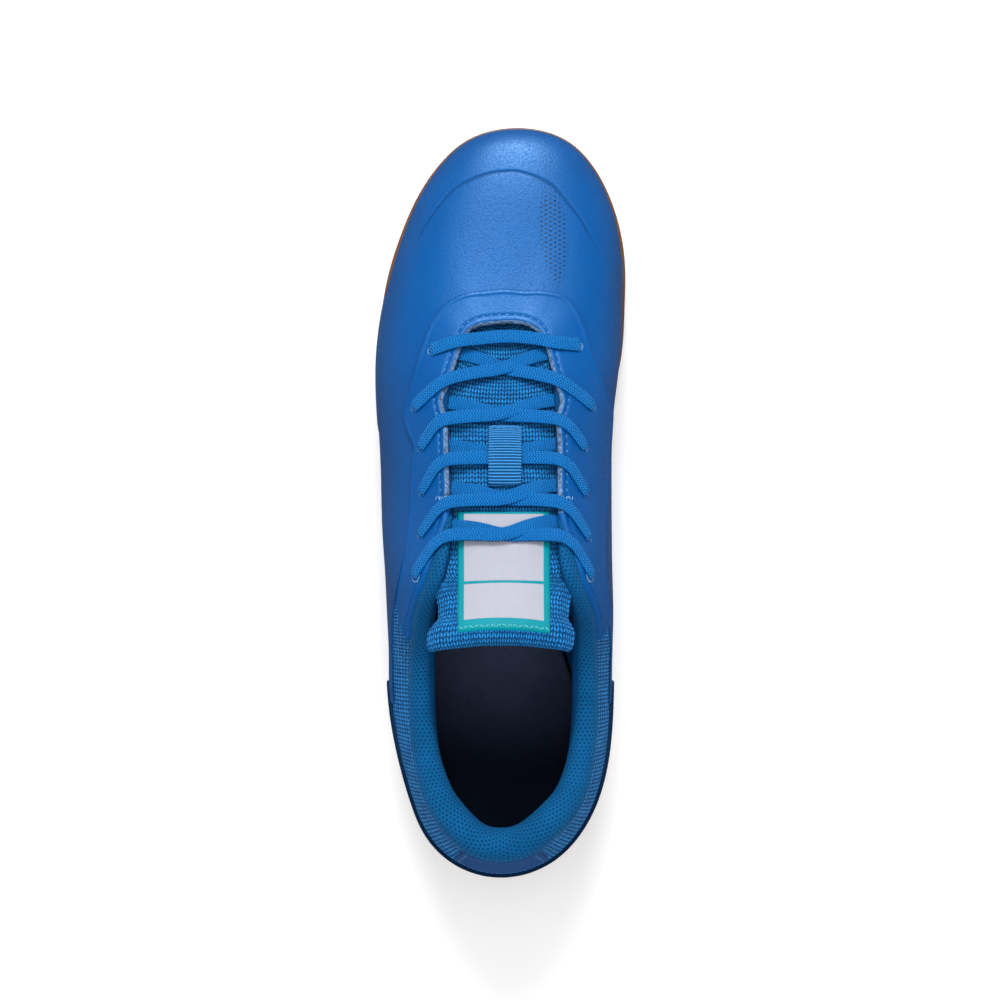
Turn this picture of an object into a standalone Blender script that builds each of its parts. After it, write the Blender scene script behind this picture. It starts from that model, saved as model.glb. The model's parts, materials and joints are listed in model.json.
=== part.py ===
"""Indoor soccer shoe, left foot: cup sole, hollow padded upper, tongue, insole and crossed lace."""
import bpy
import bmesh
import numpy as np

# Driving sizes, metres
LENGTH = 0.290            # heel to toe
BALL_WIDTH = 0.100        # across the ball
HEEL_HEIGHT = 0.084       # floor to the collar at the heel
INSTEP_HEIGHT = 0.096     # floor to the top of the lacing
SOLE_HEIGHT = 0.026       # floor to the top of the sole's side at the heel
WALL = 0.0022             # wall of the upper
COLLAR_PAD = 0.0085       # padding added to the wall at the collar
SOLE_LIP = 0.0036         # width of the sole's rim
INSOLE_THICKNESS = 0.0040
OVERLAY = 0.0012          # thickness of the parts laid on the upper
LACE_WIDTH = 0.0055
LACE_THICKNESS = 0.0016
EYELET = 0.0046           # hole diameter
GAP = 0.00035             # air between neighbours

HALF = 38                 # stations from heel to toe, each side
COUNT = 2 * HALF

# Outline seen from above. share of LENGTH from the heel, then lengths as shares of BALL_WIDTH:
# widest line left and right, how far the sole's edge and the upper lie inside it on each side
PLAN = np.array([
    # share  left    right   tuck_l tuck_r in_l   in_r
    [0.000, -0.004, -0.004, 0.025, 0.025, 0.016, 0.016],
    [0.025, -0.211, 0.223, 0.015, 0.015, 0.016, 0.016],
    [0.060, -0.300, 0.318, 0.008, 0.008, 0.016, 0.016],
    [0.100, -0.348, 0.378, 0.014, 0.012, 0.016, 0.016],
    [0.160, -0.395, 0.421, 0.042, 0.036, 0.014, 0.014],
    [0.240, -0.430, 0.434, 0.085, 0.075, 0.010, 0.010],
    [0.300, -0.427, 0.431, 0.108, 0.126, 0.004, 0.004],
    [0.350, -0.429, 0.429, 0.128, 0.165, 0.000, 0.000],
    [0.400, -0.436, 0.426, 0.134, 0.186, 0.000, 0.000],
    [0.460, -0.448, 0.425, 0.118, 0.182, 0.000, 0.000],
    [0.540, -0.463, 0.425, 0.074, 0.112, 0.008, 0.000],
    [0.620, -0.484, 0.441, 0.046, 0.024, 0.016, 0.006],
    [0.690, -0.490, 0.475, 0.025, 0.000, 0.016, 0.014],
    [0.760, -0.469, 0.488, 0.008, 0.000, 0.016, 0.018],
    [0.820, -0.425, 0.489, 0.000, 0.000, 0.014, 0.016],
    [0.870, -0.374, 0.466, 0.000, 0.000, 0.013, 0.013],
    [0.910, -0.320, 0.427, 0.000, 0.000, 0.013, 0.013],
    [0.950, -0.240, 0.362, 0.000, 0.000, 0.013, 0.013],
    [0.980, -0.146, 0.276, 0.000, 0.000, 0.013, 0.013],
    [1.000, 0.080, 0.080, 0.000, 0.000, 0.013, 0.013],
])

# Sole heights at the same stations, shares of SOLE_HEIGHT
SOLE = np.array([
    # bottom  bed    rim
    [0.230, 0.810, 1.040],
    [0.150, 0.800, 1.020],
    [0.060, 0.795, 1.010],
    [0.010, 0.790, 1.000],
    [0.000, 0.780, 0.985],
    [0.000, 0.760, 0.945],
    [0.030, 0.720, 0.900],
    [0.077, 0.677, 0.845],
    [0.108, 0.630, 0.800],
    [0.085, 0.577, 0.745],
    [0.027, 0.490, 0.700],
    [0.000, 0.423, 0.670],
    [0.000, 0.392, 0.655],
    [0.008, 0.385, 0.660],
    [0.054, 0.400, 0.690],
    [0.130, 0.445, 0.745],
    [0.215, 0.510, 0.800],
    [0.315, 0.590, 0.860],
    [0.392, 0.655, 0.907],
    [0.438, 0.690, 0.938],
])

# Edge of the opening (collar and throat) at the same stations: share of LENGTH, left and right as
# shares of BALL_WIDTH, height as shares of HEEL_HEIGHT and INSTEP_HEIGHT
EDGE = np.array([
    # along   left    right   heel   instep
    [0.038, -0.002, -0.002, 0.955, 0.000],
    [0.052, -0.135, 0.145, 0.950, 0.000],
    [0.078, -0.215, 0.235, 0.930, 0.000],
    [0.108, -0.270, 0.300, 0.895, 0.000],
    [0.160, -0.315, 0.345, 0.825, 0.000],
    [0.240, -0.335, 0.362, 0.772, 0.000],
    [0.300, -0.328, 0.355, 0.600, 0.210],
    [0.350, -0.306, 0.334, 0.200, 0.700],
    [0.400, -0.245, 0.268, 0.000, 0.990],
    [0.460, -0.197, 0.230, 0.000, 0.945],
    [0.540, -0.200, 0.224, 0.000, 0.855],
    [0.610, -0.212, 0.222, 0.000, 0.775],
    [0.655, -0.196, 0.212, 0.000, 0.735],
    [0.688, -0.168, 0.195, 0.000, 0.703],
    [0.712, -0.145, 0.176, 0.000, 0.680],
    [0.727, -0.120, 0.148, 0.000, 0.664],
    [0.735, -0.090, 0.115, 0.000, 0.657],
    [0.738, -0.055, 0.080, 0.000, 0.652],
    [0.739, -0.022, 0.047, 0.000, 0.650],
    [0.739, 0.013, 0.013, 0.000, 0.650],
])

# How each section swells between sole and edge. belly: widest line, share of the way from rim to
# edge; rise: upright start left and right, share of the way from belly to edge; lean: slope at the
# edge in degrees; pull: length of that slope, share of belly to edge; pad: share of COLLAR_PAD
SWELL = np.array([
    # belly  rise_l rise_r lean  pull   pad
    [0.280, 0.500, 0.500, 78.0, 0.330, 1.000],
    [0.280, 0.500, 0.500, 77.0, 0.330, 1.000],
    [0.280, 0.500, 0.500, 76.0, 0.330, 1.000],
    [0.285, 0.490, 0.490, 74.0, 0.330, 0.950],
    [0.310, 0.470, 0.470, 70.0, 0.330, 0.900],
    [0.340, 0.450, 0.450, 66.0, 0.330, 0.850],
    [0.310, 0.440, 0.440, 64.0, 0.330, 0.800],
    [0.260, 0.420, 0.440, 58.0, 0.330, 0.620],
    [0.230, 0.400, 0.420, 46.0, 0.320, 0.280],
    [0.235, 0.390, 0.430, 40.0, 0.320, 0.050],
    [0.250, 0.390, 0.450, 37.0, 0.330, 0.000],
    [0.240, 0.400, 0.480, 33.0, 0.350, 0.000],
    [0.220, 0.420, 0.500, 29.0, 0.380, 0.000],
    [0.200, 0.450, 0.520, 26.0, 0.410, 0.000],
    [0.190, 0.480, 0.530, 24.0, 0.440, 0.000],
    [0.180, 0.510, 0.540, 22.0, 0.460, 0.000],
    [0.180, 0.530, 0.550, 21.0, 0.480, 0.000],
    [0.180, 0.540, 0.550, 20.0, 0.500, 0.000],
    [0.180, 0.550, 0.550, 20.0, 0.510, 0.000],
    [0.180, 0.550, 0.550, 20.0, 0.510, 0.000],
])


def closed(left, right):
    """Values round the shoe: heel, up the left side to the toe, down the right side."""
    return np.concatenate([left[:-1], right[:0:-1]])


def ring_spline(knots, values):
    """Smooth closed curve through values at knots, as a function of place 0 to 1."""
    size = len(knots)
    step = np.diff(np.append(knots, knots[0] + 1.0))
    before = np.roll(step, 1)
    matrix = np.zeros((size, size))
    here = np.arange(size)
    matrix[here, here] = 2.0 * (step + before)
    matrix[here, (here + 1) % size] = step
    matrix[here, (here - 1) % size] = before
    slope = (np.roll(values, -1) - values) / step
    bend = np.linalg.solve(matrix, 6.0 * (slope - np.roll(slope, 1)))

    def value(place):
        place = np.mod(place - knots[0], 1.0) + knots[0]
        cell = np.clip(np.searchsorted(knots, place, side="right") - 1, 0, size - 1)
        after = (cell + 1) % size
        width = step[cell]
        one = (place - knots[cell]) / width
        two = 1.0 - one
        smooth = (two ** 3 - two) * bend[cell] + (one ** 3 - one) * bend[after]
        return two * values[cell] + one * values[after] + smooth * width ** 2 / 6.0

    return value


# Named curves round the shoe
ALONG = PLAN[:, 0] * LENGTH - LENGTH / 2.0
knot_x = closed(PLAN[:, 1], PLAN[:, 2]) * BALL_WIDTH
knot_y = closed(ALONG, ALONG)
chord = np.hypot(np.diff(np.append(knot_x, knot_x[0])), np.diff(np.append(knot_y, knot_y[0])))
KNOTS = np.concatenate([[0.0], np.cumsum(chord)[:-1]]) / np.sum(chord)
TOE = KNOTS[len(PLAN) - 1]


def curve(left, right):
    return ring_spline(KNOTS, closed(left, right))


outline_x = curve(PLAN[:, 1] * BALL_WIDTH, PLAN[:, 2] * BALL_WIDTH)
outline_y = curve(ALONG, ALONG)
sole_tuck = curve(PLAN[:, 3] * BALL_WIDTH, PLAN[:, 4] * BALL_WIDTH)
upper_inset = curve(PLAN[:, 5] * BALL_WIDTH, PLAN[:, 6] * BALL_WIDTH)
bottom_line = curve(SOLE[:, 0] * SOLE_HEIGHT, SOLE[:, 0] * SOLE_HEIGHT)
bed_z = curve(SOLE[:, 1] * SOLE_HEIGHT, SOLE[:, 1] * SOLE_HEIGHT)
rim_z = curve(SOLE[:, 2] * SOLE_HEIGHT, SOLE[:, 2] * SOLE_HEIGHT)
edge_x = curve(EDGE[:, 1] * BALL_WIDTH, EDGE[:, 2] * BALL_WIDTH)
edge_y = curve(EDGE[:, 0] * LENGTH - LENGTH / 2.0, EDGE[:, 0] * LENGTH - LENGTH / 2.0)
EDGE_HEIGHT = EDGE[:, 3] * HEEL_HEIGHT + EDGE[:, 4] * INSTEP_HEIGHT
edge_z = curve(EDGE_HEIGHT, EDGE_HEIGHT)
belly = curve(SWELL[:, 0], SWELL[:, 0])
rise = curve(SWELL[:, 1], SWELL[:, 2])
lean = curve(np.radians(SWELL[:, 3]), np.radians(SWELL[:, 3]))
pull = curve(SWELL[:, 4], SWELL[:, 4])
pad = curve(SWELL[:, 5] * COLLAR_PAD, SWELL[:, 5] * COLLAR_PAD)


def bottom_z(place):
    """Height of the sole's lower edge, flat on the floor under heel and forefoot."""
    return np.maximum(bottom_line(place) - 0.004 * SOLE_HEIGHT, 0.0)


def stack(x, y, z):
    return np.stack(np.broadcast_arrays(x, y, z), axis=-1)


def inward(place):
    """Level direction square to the outline, pointing into the shoe."""
    step = 1e-4
    dx = outline_x(place + step) - outline_x(place - step)
    dy = outline_y(place + step) - outline_y(place - step)
    size = np.hypot(dx, dy)
    return dy / size, -dx / size


def offset_outline(place, inset, z):
    nx, ny = inward(place)
    return stack(outline_x(place) + nx * inset, outline_y(place) + ny * inset, z)


def bezier(a, b, c, d, share):
    a, b, c, d = (p[..., None, :] for p in (a, b, c, d))
    s = share[:, None]
    r = 1.0 - s
    return r ** 3 * a + 3 * r * r * s * b + 3 * r * s * s * c + s ** 3 * d


DENSE = np.linspace(0.0, 1.0, 49)


def rib(place):
    """Section of the upper at each place: lower run from the sole's bed to the widest line, upper
    run from there to the edge, both as dense curves."""
    base_z = bed_z(place) + GAP
    wide_z = rim_z(place) + belly(place) * (edge_z(place) - rim_z(place))
    foot = offset_outline(place, sole_tuck(place) + SOLE_LIP, base_z)
    wide = offset_outline(place, upper_inset(place), wide_z)
    edge = stack(edge_x(place), edge_y(place), edge_z(place))
    up = np.array([0.0, 0.0, 1.0])
    tall = (wide_z - base_z)[..., None]
    rim = (rim_z(place) - bed_z(place))[..., None]
    begin = np.minimum(np.maximum(0.45 * tall, 1.5 * rim), 0.62 * tall)
    low = bezier(foot, foot + begin * up, wide - 0.38 * tall * up, wide, DENSE)
    flat = (edge - wide) * np.array([1.0, 1.0, 0.0])
    reach = np.linalg.norm(edge - wide, axis=-1)
    flat = flat / np.linalg.norm(flat, axis=-1)[..., None]
    slope = np.cos(lean(place))[..., None] * flat + np.sin(lean(place))[..., None] * up
    start = (rise(place) * (edge_z(place) - wide_z))[..., None] * up
    high = bezier(wide, wide + start, edge - (pull(place) * reach)[..., None] * slope, edge, DENSE)
    return low, high


def arc_lengths(lines):
    steps = np.linalg.norm(np.diff(lines, axis=-2), axis=-1)
    return np.concatenate([np.zeros(steps.shape[:-1] + (1,)), np.cumsum(steps, axis=-1)], axis=-1)


def pick(lines, share):
    """Points at even-length shares (rows x any) along each dense curve."""
    arcs = arc_lengths(lines)
    whole = arcs[:, -1:]
    arcs = arcs / whole
    rows = np.arange(len(lines))[:, None]
    flat = (arcs + 2.0 * rows).ravel()
    want = share + 2.0 * rows
    cell = np.clip(np.searchsorted(flat, want, side="right") - 1 - rows * lines.shape[1],
                   0, lines.shape[1] - 2)
    low = np.take_along_axis(arcs, cell, axis=1)
    high = np.take_along_axis(arcs, cell + 1, axis=1)
    part = np.clip((share - low) / np.maximum(high - low, 1e-12), 0.0, 1.0)[..., None]
    first = np.take_along_axis(lines, cell[..., None], axis=1)
    second = np.take_along_axis(lines, cell[..., None] + 1, axis=1)
    return first * (1.0 - part) + second * part


def raw_skin(place, climb):
    """Outer face of the upper. place (rows) round the shoe, climb (rows x any): 0 at the sole's
    bed, 1 at the widest line, 2 at the edge of the opening."""
    low, high = rib(place)
    under = pick(low, np.clip(climb, 0.0, 1.0))
    over = pick(high, np.clip(climb - 1.0, 0.0, 1.0))
    return np.where((climb < 1.0)[..., None], under, over)


def skin(place, climb, lift=0.0):
    """Outer face moved out by lift along its own normal, with that normal."""
    step = 2e-3
    point = raw_skin(place, climb)
    ahead = raw_skin(place + step, climb) - raw_skin(place - step, climb)
    above = raw_skin(place, np.minimum(climb + 0.02, 2.0)) - raw_skin(place, np.maximum(climb - 0.02, 0.0))
    normal = np.cross(above, ahead)
    normal = normal / np.linalg.norm(normal, axis=-1)[..., None]
    return point + normal * np.asarray(lift)[..., None], normal


def upper_length(place):
    return arc_lengths(rib(place)[1])[:, -1]


def from_edge(place, distance):
    """Climb of points a given distance down from the edge of the opening."""
    return 2.0 - distance / upper_length(place)[:, None]


def wall(place, climb):
    """Thickness of the upper: the plain wall and the collar's padding, fading down from the edge."""
    down = (2.0 - climb) * upper_length(place)[:, None]
    fade = np.clip(1.0 - (down - 0.010) / 0.026, 0.0, 1.0)
    fade = fade * fade * (3.0 - 2.0 * fade)
    return WALL + np.maximum(pad(place), 0.0)[:, None] * fade


STATIONS = np.concatenate([np.linspace(0.0, TOE, HALF + 1)[:-1], np.linspace(TOE, 1.0, HALF + 1)[:-1]])


def finish(name, verts, faces, colour, roughness):
    """Mesh object from points and faces, merged, facing out, with its own material."""
    mesh = bpy.data.meshes.new(name)
    mesh.from_pydata([tuple(p) for p in verts], [], [tuple(f) for f in faces])
    work = bmesh.new()
    work.from_mesh(mesh)
    bmesh.ops.remove_doubles(work, verts=work.verts, dist=1e-6)
    bmesh.ops.dissolve_degenerate(work, dist=1e-7, edges=work.edges)
    bmesh.ops.triangulate(work, faces=work.faces)
    bmesh.ops.recalc_face_normals(work, faces=work.faces)
    if work.calc_volume(signed=True) < 0.0:
        bmesh.ops.reverse_faces(work, faces=work.faces)
    work.to_mesh(mesh)
    work.free()
    made = bpy.data.objects.new(name, mesh)
    part_set.objects.link(made)
    paint = bpy.data.materials.new(name)
    paint.use_nodes = True
    shader = paint.node_tree.nodes["Principled BSDF"]
    shader.inputs["Base Color"].default_value = (*colour, 1.0)
    shader.inputs["Roughness"].default_value = roughness
    mesh.materials.append(paint)
    return made


def grid_faces(rows, columns, wrap_rows=False, wrap_columns=False, start=0, flip=False):
    index = start + np.arange(rows * columns).reshape(rows, columns)
    if wrap_rows:
        index = np.vstack([index, index[:1]])
    if wrap_columns:
        index = np.hstack([index, index[:, :1]])
    faces = np.stack([index[:-1, :-1], index[1:, :-1], index[1:, 1:], index[:-1, 1:]], axis=-1)
    faces = faces.reshape(-1, 4)
    return faces[:, ::-1] if flip else faces


def leaf_faces(ring, inner_start, columns, flip):
    """Faces of a sheet that spans a ring: pairs of ring points at the same station are joined by
    columns of inner points."""
    faces = []
    table = [[int(ring[0])] * (columns + 2)]
    for i in range(1, HALF):
        inner = [inner_start + (i - 1) * columns + j for j in range(columns)]
        table.append([int(ring[i])] + inner + [int(ring[COUNT - i])])
    table.append([int(ring[HALF])] * (columns + 2))
    for low, high in zip(table[:-1], table[1:]):
        for j in range(columns + 1):
            face = []
            for corner in (low[j], low[j + 1], high[j + 1], high[j]):
                if corner not in face:
                    face.append(corner)
            if len(face) > 2:
                faces.append(face[::-1] if flip else face)
    return faces


def leaf_points(ring_points, columns, height=None, shares=None):
    """Inner points of such a sheet, evenly across, with an own height where one is given."""
    left = ring_points[1:HALF]
    right = ring_points[:HALF:-1]
    if shares is None:
        shares = np.linspace(0.0, 1.0, columns + 2)[1:-1]
    points = left[:, None, :] * (1.0 - shares[:, None]) + right[:, None, :] * shares[:, None]
    if height is not None:
        points[..., 2] = height(points[..., 0], points[..., 1], points[..., 2], shares)
    return points.reshape(-1, 3)


def bump(value, middle, spread):
    return np.exp(-((value - middle) / spread) ** 2)


def tread_height(x, y, edge_height, shares):
    """Underside of the sole: edge height carried across, a hollow under the waist, a raised
    diagonal ridge through the hollow and two soft flex grooves across the forefoot."""
    along = y / LENGTH + 0.5
    across = x / BALL_WIDTH
    middle = (4.0 * shares * (1.0 - shares)) ** 0.5
    hollow = 0.15 * SOLE_HEIGHT * np.maximum(bump(along, 0.375, 0.105) - 0.10, 0.0) * middle
    line = along - 0.355 + 0.38 * across
    ridge = bump(line, 0.0, 0.045) * bump(along, 0.36, 0.15)
    grooves = bump(along + 0.10 * across, 0.800, 0.018) + bump(along + 0.16 * across, 0.645, 0.018)
    grooves = np.maximum(grooves - 0.05, 0.0)
    return edge_height + hollow * (1.0 - 0.85 * ridge) + 0.025 * SOLE_HEIGHT * grooves * middle ** 2


def make_outsole():
    u = STATIONS
    tuck = sole_tuck(u)
    low = bottom_z(u)
    top = rim_z(u)
    tall = top - low
    low_run, _ = rib(u)
    # inner face of the rim stands one gap outside the upper's own section
    levels = []
    for share in (1.0, 0.5, 0.0):
        level = bed_z(u) + share * (top - bed_z(u))
        raised = np.maximum(level, low_run[:, 0, 2])
        at = np.array([np.interp(z, run[:, 2], np.arange(len(run))) for z, run in zip(raised, low_run)])
        cell = np.minimum(at.astype(int), low_run.shape[1] - 2)
        part = (at - cell)[:, None]
        rows = np.arange(len(u))
        point = low_run[rows, cell] * (1.0 - part) + low_run[rows, cell + 1] * part
        nx, ny = inward(u)
        levels.append(stack(point[:, 0] - nx * 1.6 * GAP, point[:, 1] - ny * 1.6 * GAP, level))
    rings = [
        offset_outline(u, tuck + 0.0030, low),
        offset_outline(u, tuck + 0.0009, low + 0.0009),
        offset_outline(u, tuck + 0.0002, low + 0.0030),
        offset_outline(u, tuck, low + 0.42 * tall),
        offset_outline(u, tuck + 0.0006, low + 0.42 * tall + 0.0005),
        offset_outline(u, tuck + 0.0004, low + 0.88 * tall),
        offset_outline(u, tuck + 0.0007, top),
    ] + levels
    shell = np.stack(rings, axis=1)
    count = len(rings)
    verts = [shell.reshape(-1, 3)]
    faces = [list(f) for f in grid_faces(COUNT, count, wrap_rows=True, flip=False)]
    columns = 12
    start = COUNT * count
    verts.append(leaf_points(shell[:, 0], columns, tread_height))
    faces += leaf_faces(np.arange(COUNT) * count, start, columns, flip=True)
    start += (HALF - 1) * columns
    verts.append(leaf_points(shell[:, -1], 5))
    faces += leaf_faces(np.arange(COUNT) * count + count - 1, start, 5, flip=False)
    return finish("outsole", np.vstack(verts), faces, (0.17, 0.075, 0.03), 0.55)


OUTER_CLIMBS = np.array([0.0, 0.14, 0.28, 0.45, 0.70, 1.0, 1.10, 1.22, 1.36, 1.52, 1.70, 1.87, 2.0])
INNER_CLIMBS = np.array([2.0, 1.85, 1.65, 1.40, 1.0, 0.5, 0.0])


def inner_skin(place, climb, extra=0.0):
    return skin(place, climb, -(wall(place, climb) + extra))[0]


def make_upper():
    u = STATIONS
    outer = skin(u, np.broadcast_to(OUTER_CLIMBS, (COUNT, len(OUTER_CLIMBS))))[0]
    inner = inner_skin(u, np.broadcast_to(INNER_CLIMBS, (COUNT, len(INNER_CLIMBS))))
    inner[:, -1, 2] = outer[:, 0, 2]
    middle = (outer[:, -1] + inner[:, 0]) / 2.0
    half = (outer[:, -1] - inner[:, 0]) / 2.0
    rising = outer[:, -1] - outer[:, -2]
    rising = rising / np.linalg.norm(rising, axis=-1)[:, None]
    size = np.linalg.norm(half, axis=-1)[:, None]
    crown = [middle + half * np.cos(a) + rising * size * np.sin(a) for a in np.radians([40.0, 90.0, 140.0])]
    loops = np.concatenate([outer, np.stack(crown, axis=1), inner], axis=1)
    faces = grid_faces(COUNT, loops.shape[1], wrap_rows=True, wrap_columns=True)
    return finish("upper", loops.reshape(-1, 3), faces, (0.02, 0.13, 0.45), 0.5)


def make_insole():
    u = STATIONS
    shape = inner_skin(u, np.zeros((COUNT, 1)), GAP)[:, 0]
    base = bed_z(u) + GAP
    low = shape.copy()
    low[:, 2] = base
    nx, ny = inward(u)
    mid = low + stack(0.0 * nx, 0.0 * ny, INSOLE_THICKNESS * 0.8 + 0.0 * nx)
    top = low + stack(nx * 0.0012, ny * 0.0012, INSOLE_THICKNESS + 0.0 * nx)
    shell = np.stack([low, mid, top], axis=1)
    verts = [shell.reshape(-1, 3)]
    faces = [list(f) for f in grid_faces(COUNT, 3, wrap_rows=True)]
    start = COUNT * 3
    verts.append(leaf_points(low, 3))
    faces += leaf_faces(np.arange(COUNT) * 3, start, 3, flip=True)
    start += (HALF - 1) * 3
    verts.append(leaf_points(top, 3))
    faces += leaf_faces(np.arange(COUNT) * 3 + 2, start, 3, flip=False)
    return finish("insole", np.vstack(verts), faces, (0.01, 0.012, 0.03), 0.8)



# Free part of the tongue above the lacing: share of LENGTH, middle and half width as shares of
# BALL_WIDTH, height of its middle and fall to its sides as shares of INSTEP_HEIGHT
TONGUE_TOP = np.array([
    # along  middle half   height fall
    [0.386, 0.014, 0.205, 1.062, 0.072],
    [0.370, 0.013, 0.212, 1.086, 0.073],
    [0.353, 0.008, 0.238, 1.112, 0.082],
    [0.337, 0.002, 0.258, 1.136, 0.092],
    [0.321, -0.001, 0.262, 1.155, 0.096],
])
# Rows of the tongue under the lacing, as row numbers of the tables above, toe row first, with how
# far it reaches under each edge as a share of TONGUE_TUCK
TONGUE_ROWS = np.array([19.0, 18.4, 17.7, 16.8, 15.8, 14.8, 13.8, 12.9, 12.1, 11.4, 10.7, 10.0, 9.3,
                        8.7, 8.2])
TONGUE_REACH = np.interp(TONGUE_ROWS, [8.2, 9.3, 11.0, 19.0], [0.30, 0.60, 1.0, 1.0])
TONGUE_TUCK = 0.012
TONGUE_THIN = 0.0030
TONGUE_THICK = 0.0070
TONGUE_CLEAR = 0.0008
UNDER = np.array([1.0, 0.66, 0.33, 0.0])
BRIDGE = np.array([0.12, 0.30, 0.50, 0.70, 0.88])
ACROSS = np.array([-1.0, -0.90, -0.78, -0.66, -0.50, -0.27, 0.0, 0.27, 0.50, 0.66, 0.78, 0.90, 1.0])

LAST = len(PLAN) - 1
LEFT_PLACES = KNOTS[:LAST + 1]
RIGHT_PLACES = np.append(1.0, KNOTS[:LAST - 1:-1])


def left_at(row):
    return np.interp(row, np.arange(LAST + 1), LEFT_PLACES)


def right_at(row):
    return np.interp(row, np.arange(LAST + 1), RIGHT_PLACES)


def arch(row, share, lift, reach=1.0):
    """Points of the tongue's top face between the two edges of the throat, lifted by lift. row and
    reach have one value a station, share (stations x any) runs left to right."""
    row = np.asarray(row, dtype=float)
    ends = []
    for place in (left_at(row), right_at(row)):
        away = np.array([1.0, 0.0]) * 0.003
        climb = from_edge(place, np.broadcast_to(away, (len(place), 2)))
        point, normal = skin(place, climb)
        depth = wall(place, climb)[..., None] + GAP + TONGUE_CLEAR
        ends.append(point - normal * depth)
    start, end = ends[0][:, 1], ends[1][:, 1]
    width = np.linalg.norm(end - start, axis=-1)[:, None]
    out = start - ends[0][:, 0]
    back = end - ends[1][:, 0]
    out = out / np.linalg.norm(out, axis=-1)[:, None]
    back = back / np.linalg.norm(back, axis=-1)[:, None]
    a, b = start[:, None], (start + out * 0.33 * width)[:, None]
    c, d = (end + back * 0.33 * width)[:, None], end[:, None]
    s = np.asarray(share, dtype=float)[..., None]
    r = 1.0 - s
    point = r ** 3 * a + 3 * r * r * s * b + 3 * r * s * s * c + s ** 3 * d
    point[..., 2] += lift
    return point


def tongue_sheet():
    """Top face of the tongue: under each edge it follows the inside of the upper, between them it
    arches, and above the lacing it runs free."""
    rows = TONGUE_ROWS
    sides = []
    for place in (left_at(rows), right_at(rows)):
        climb = from_edge(place, UNDER * TONGUE_TUCK * TONGUE_REACH[:, None])
        point, normal = skin(place, climb)
        sides.append(point - normal * (wall(place, climb)[..., None] + GAP + TONGUE_CLEAR))
    middle = arch(rows, np.broadcast_to(BRIDGE, (len(rows), len(BRIDGE))), 0.0)
    laced = np.concatenate([sides[0], middle, sides[1][:, ::-1]], axis=1)
    along, centre, half, height, fall = (TONGUE_TOP[:, i:i + 1] for i in range(5))
    free = stack((centre + half * ACROSS) * BALL_WIDTH,
                 (along - 0.5) * LENGTH - 0.0035 * ACROSS ** 2,
                 (height - fall * ACROSS ** 2) * INSTEP_HEIGHT)
    return np.concatenate([laced, free], axis=0)


def sheet_normals(sheet):
    """Upward normals of a grid of points."""
    down = np.gradient(sheet, axis=0)
    across = np.gradient(sheet, axis=1)
    normal = np.cross(across, down)
    size = np.linalg.norm(normal, axis=-1)[..., None]
    normal = normal / np.maximum(size, 1e-12)
    return np.where(normal[..., 2:3] < 0.0, -normal, normal)


def make_tongue():
    sheet = tongue_sheet()
    rows, columns = sheet.shape[:2]
    normal = sheet_normals(sheet)
    normal[0] = normal[1].mean(axis=0)
    normal[0] /= np.linalg.norm(normal[0], axis=-1)[:, None]
    thick = np.interp(np.arange(rows), [0, 10, rows - 4, rows - 1],
                      [TONGUE_THIN, TONGUE_THIN, TONGUE_THICK, TONGUE_THICK])[:, None]
    edge = np.interp(np.abs(ACROSS), [0.0, 0.6, 1.0], [1.0, 0.9, 0.55])
    under = sheet - normal * (thick * edge)[..., None]
    verts = np.concatenate([sheet.reshape(-1, 3), under.reshape(-1, 3)])
    faces = grid_faces(rows, columns).tolist()
    faces += grid_faces(rows, columns, start=rows * columns, flip=True).tolist()
    top = np.arange(rows * columns).reshape(rows, columns)
    low = top + rows * columns
    rim_top = np.concatenate([top[:, 0], top[-1, 1:], top[-2::-1, -1]])
    rim_low = np.concatenate([low[:, 0], low[-1, 1:], low[-2::-1, -1]])
    for i in range(len(rim_top) - 1):
        faces.append([rim_top[i], rim_top[i + 1], rim_low[i + 1], rim_low[i]])
    return finish("tongue", verts, faces, (0.03, 0.2, 0.6), 0.85)


def stations_between(start, end):
    """Places from start to end that keep to the upper's own stations in between."""
    every = np.concatenate([STATIONS - 1.0, STATIONS, STATIONS + 1.0])
    near = 0.25 / COUNT
    inside = every[(every > start + near) & (every < end - near)]
    return np.concatenate([[start], inside, [end]])


def row_of(place):
    """Table row, counted from the heel on either side, at a place round the shoe."""
    place = np.mod(place, 1.0)
    left = np.interp(place, LEFT_PLACES, np.arange(LAST + 1))
    right = np.interp(-place, -RIGHT_PLACES, np.arange(LAST + 1))
    return np.where(place <= TOE, left, right)


def laid_on(name, places, low, high, columns, colour, base=None, top=None):
    """Closed sheet laid on the upper: from climb low to climb high at each place, one gap off the
    outer face and OVERLAY thick."""
    share = np.linspace(0.0, 1.0, columns)
    climb = low[:, None] * (1.0 - share) + high[:, None] * share
    base = 1.3 * GAP if base is None else base
    top = 1.3 * GAP + OVERLAY if top is None else top
    under = skin(places, climb, base)[0]
    over = skin(places, climb, top)[0]
    return sheet_solid(name, over, under, colour)


# Lower edge of the lace saddle, distance down from the throat's edge left and right, shares of
# BALL_WIDTH, for table rows from the collar to the toe
SADDLE_ROWS = np.array([7.6, 8.0, 9.0, 10.0, 11.0, 12.0, 13.0, 14.0, 15.0, 16.0, 19.0])
SADDLE_LEFT = np.array([0.080, 0.140, 0.170, 0.155, 0.175, 0.175, 0.150, 0.130, 0.120, 0.115, 0.115])
SADDLE_RIGHT = np.array([0.090, 0.160, 0.240, 0.280, 0.270, 0.215, 0.170, 0.140, 0.125, 0.115, 0.115])


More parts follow.
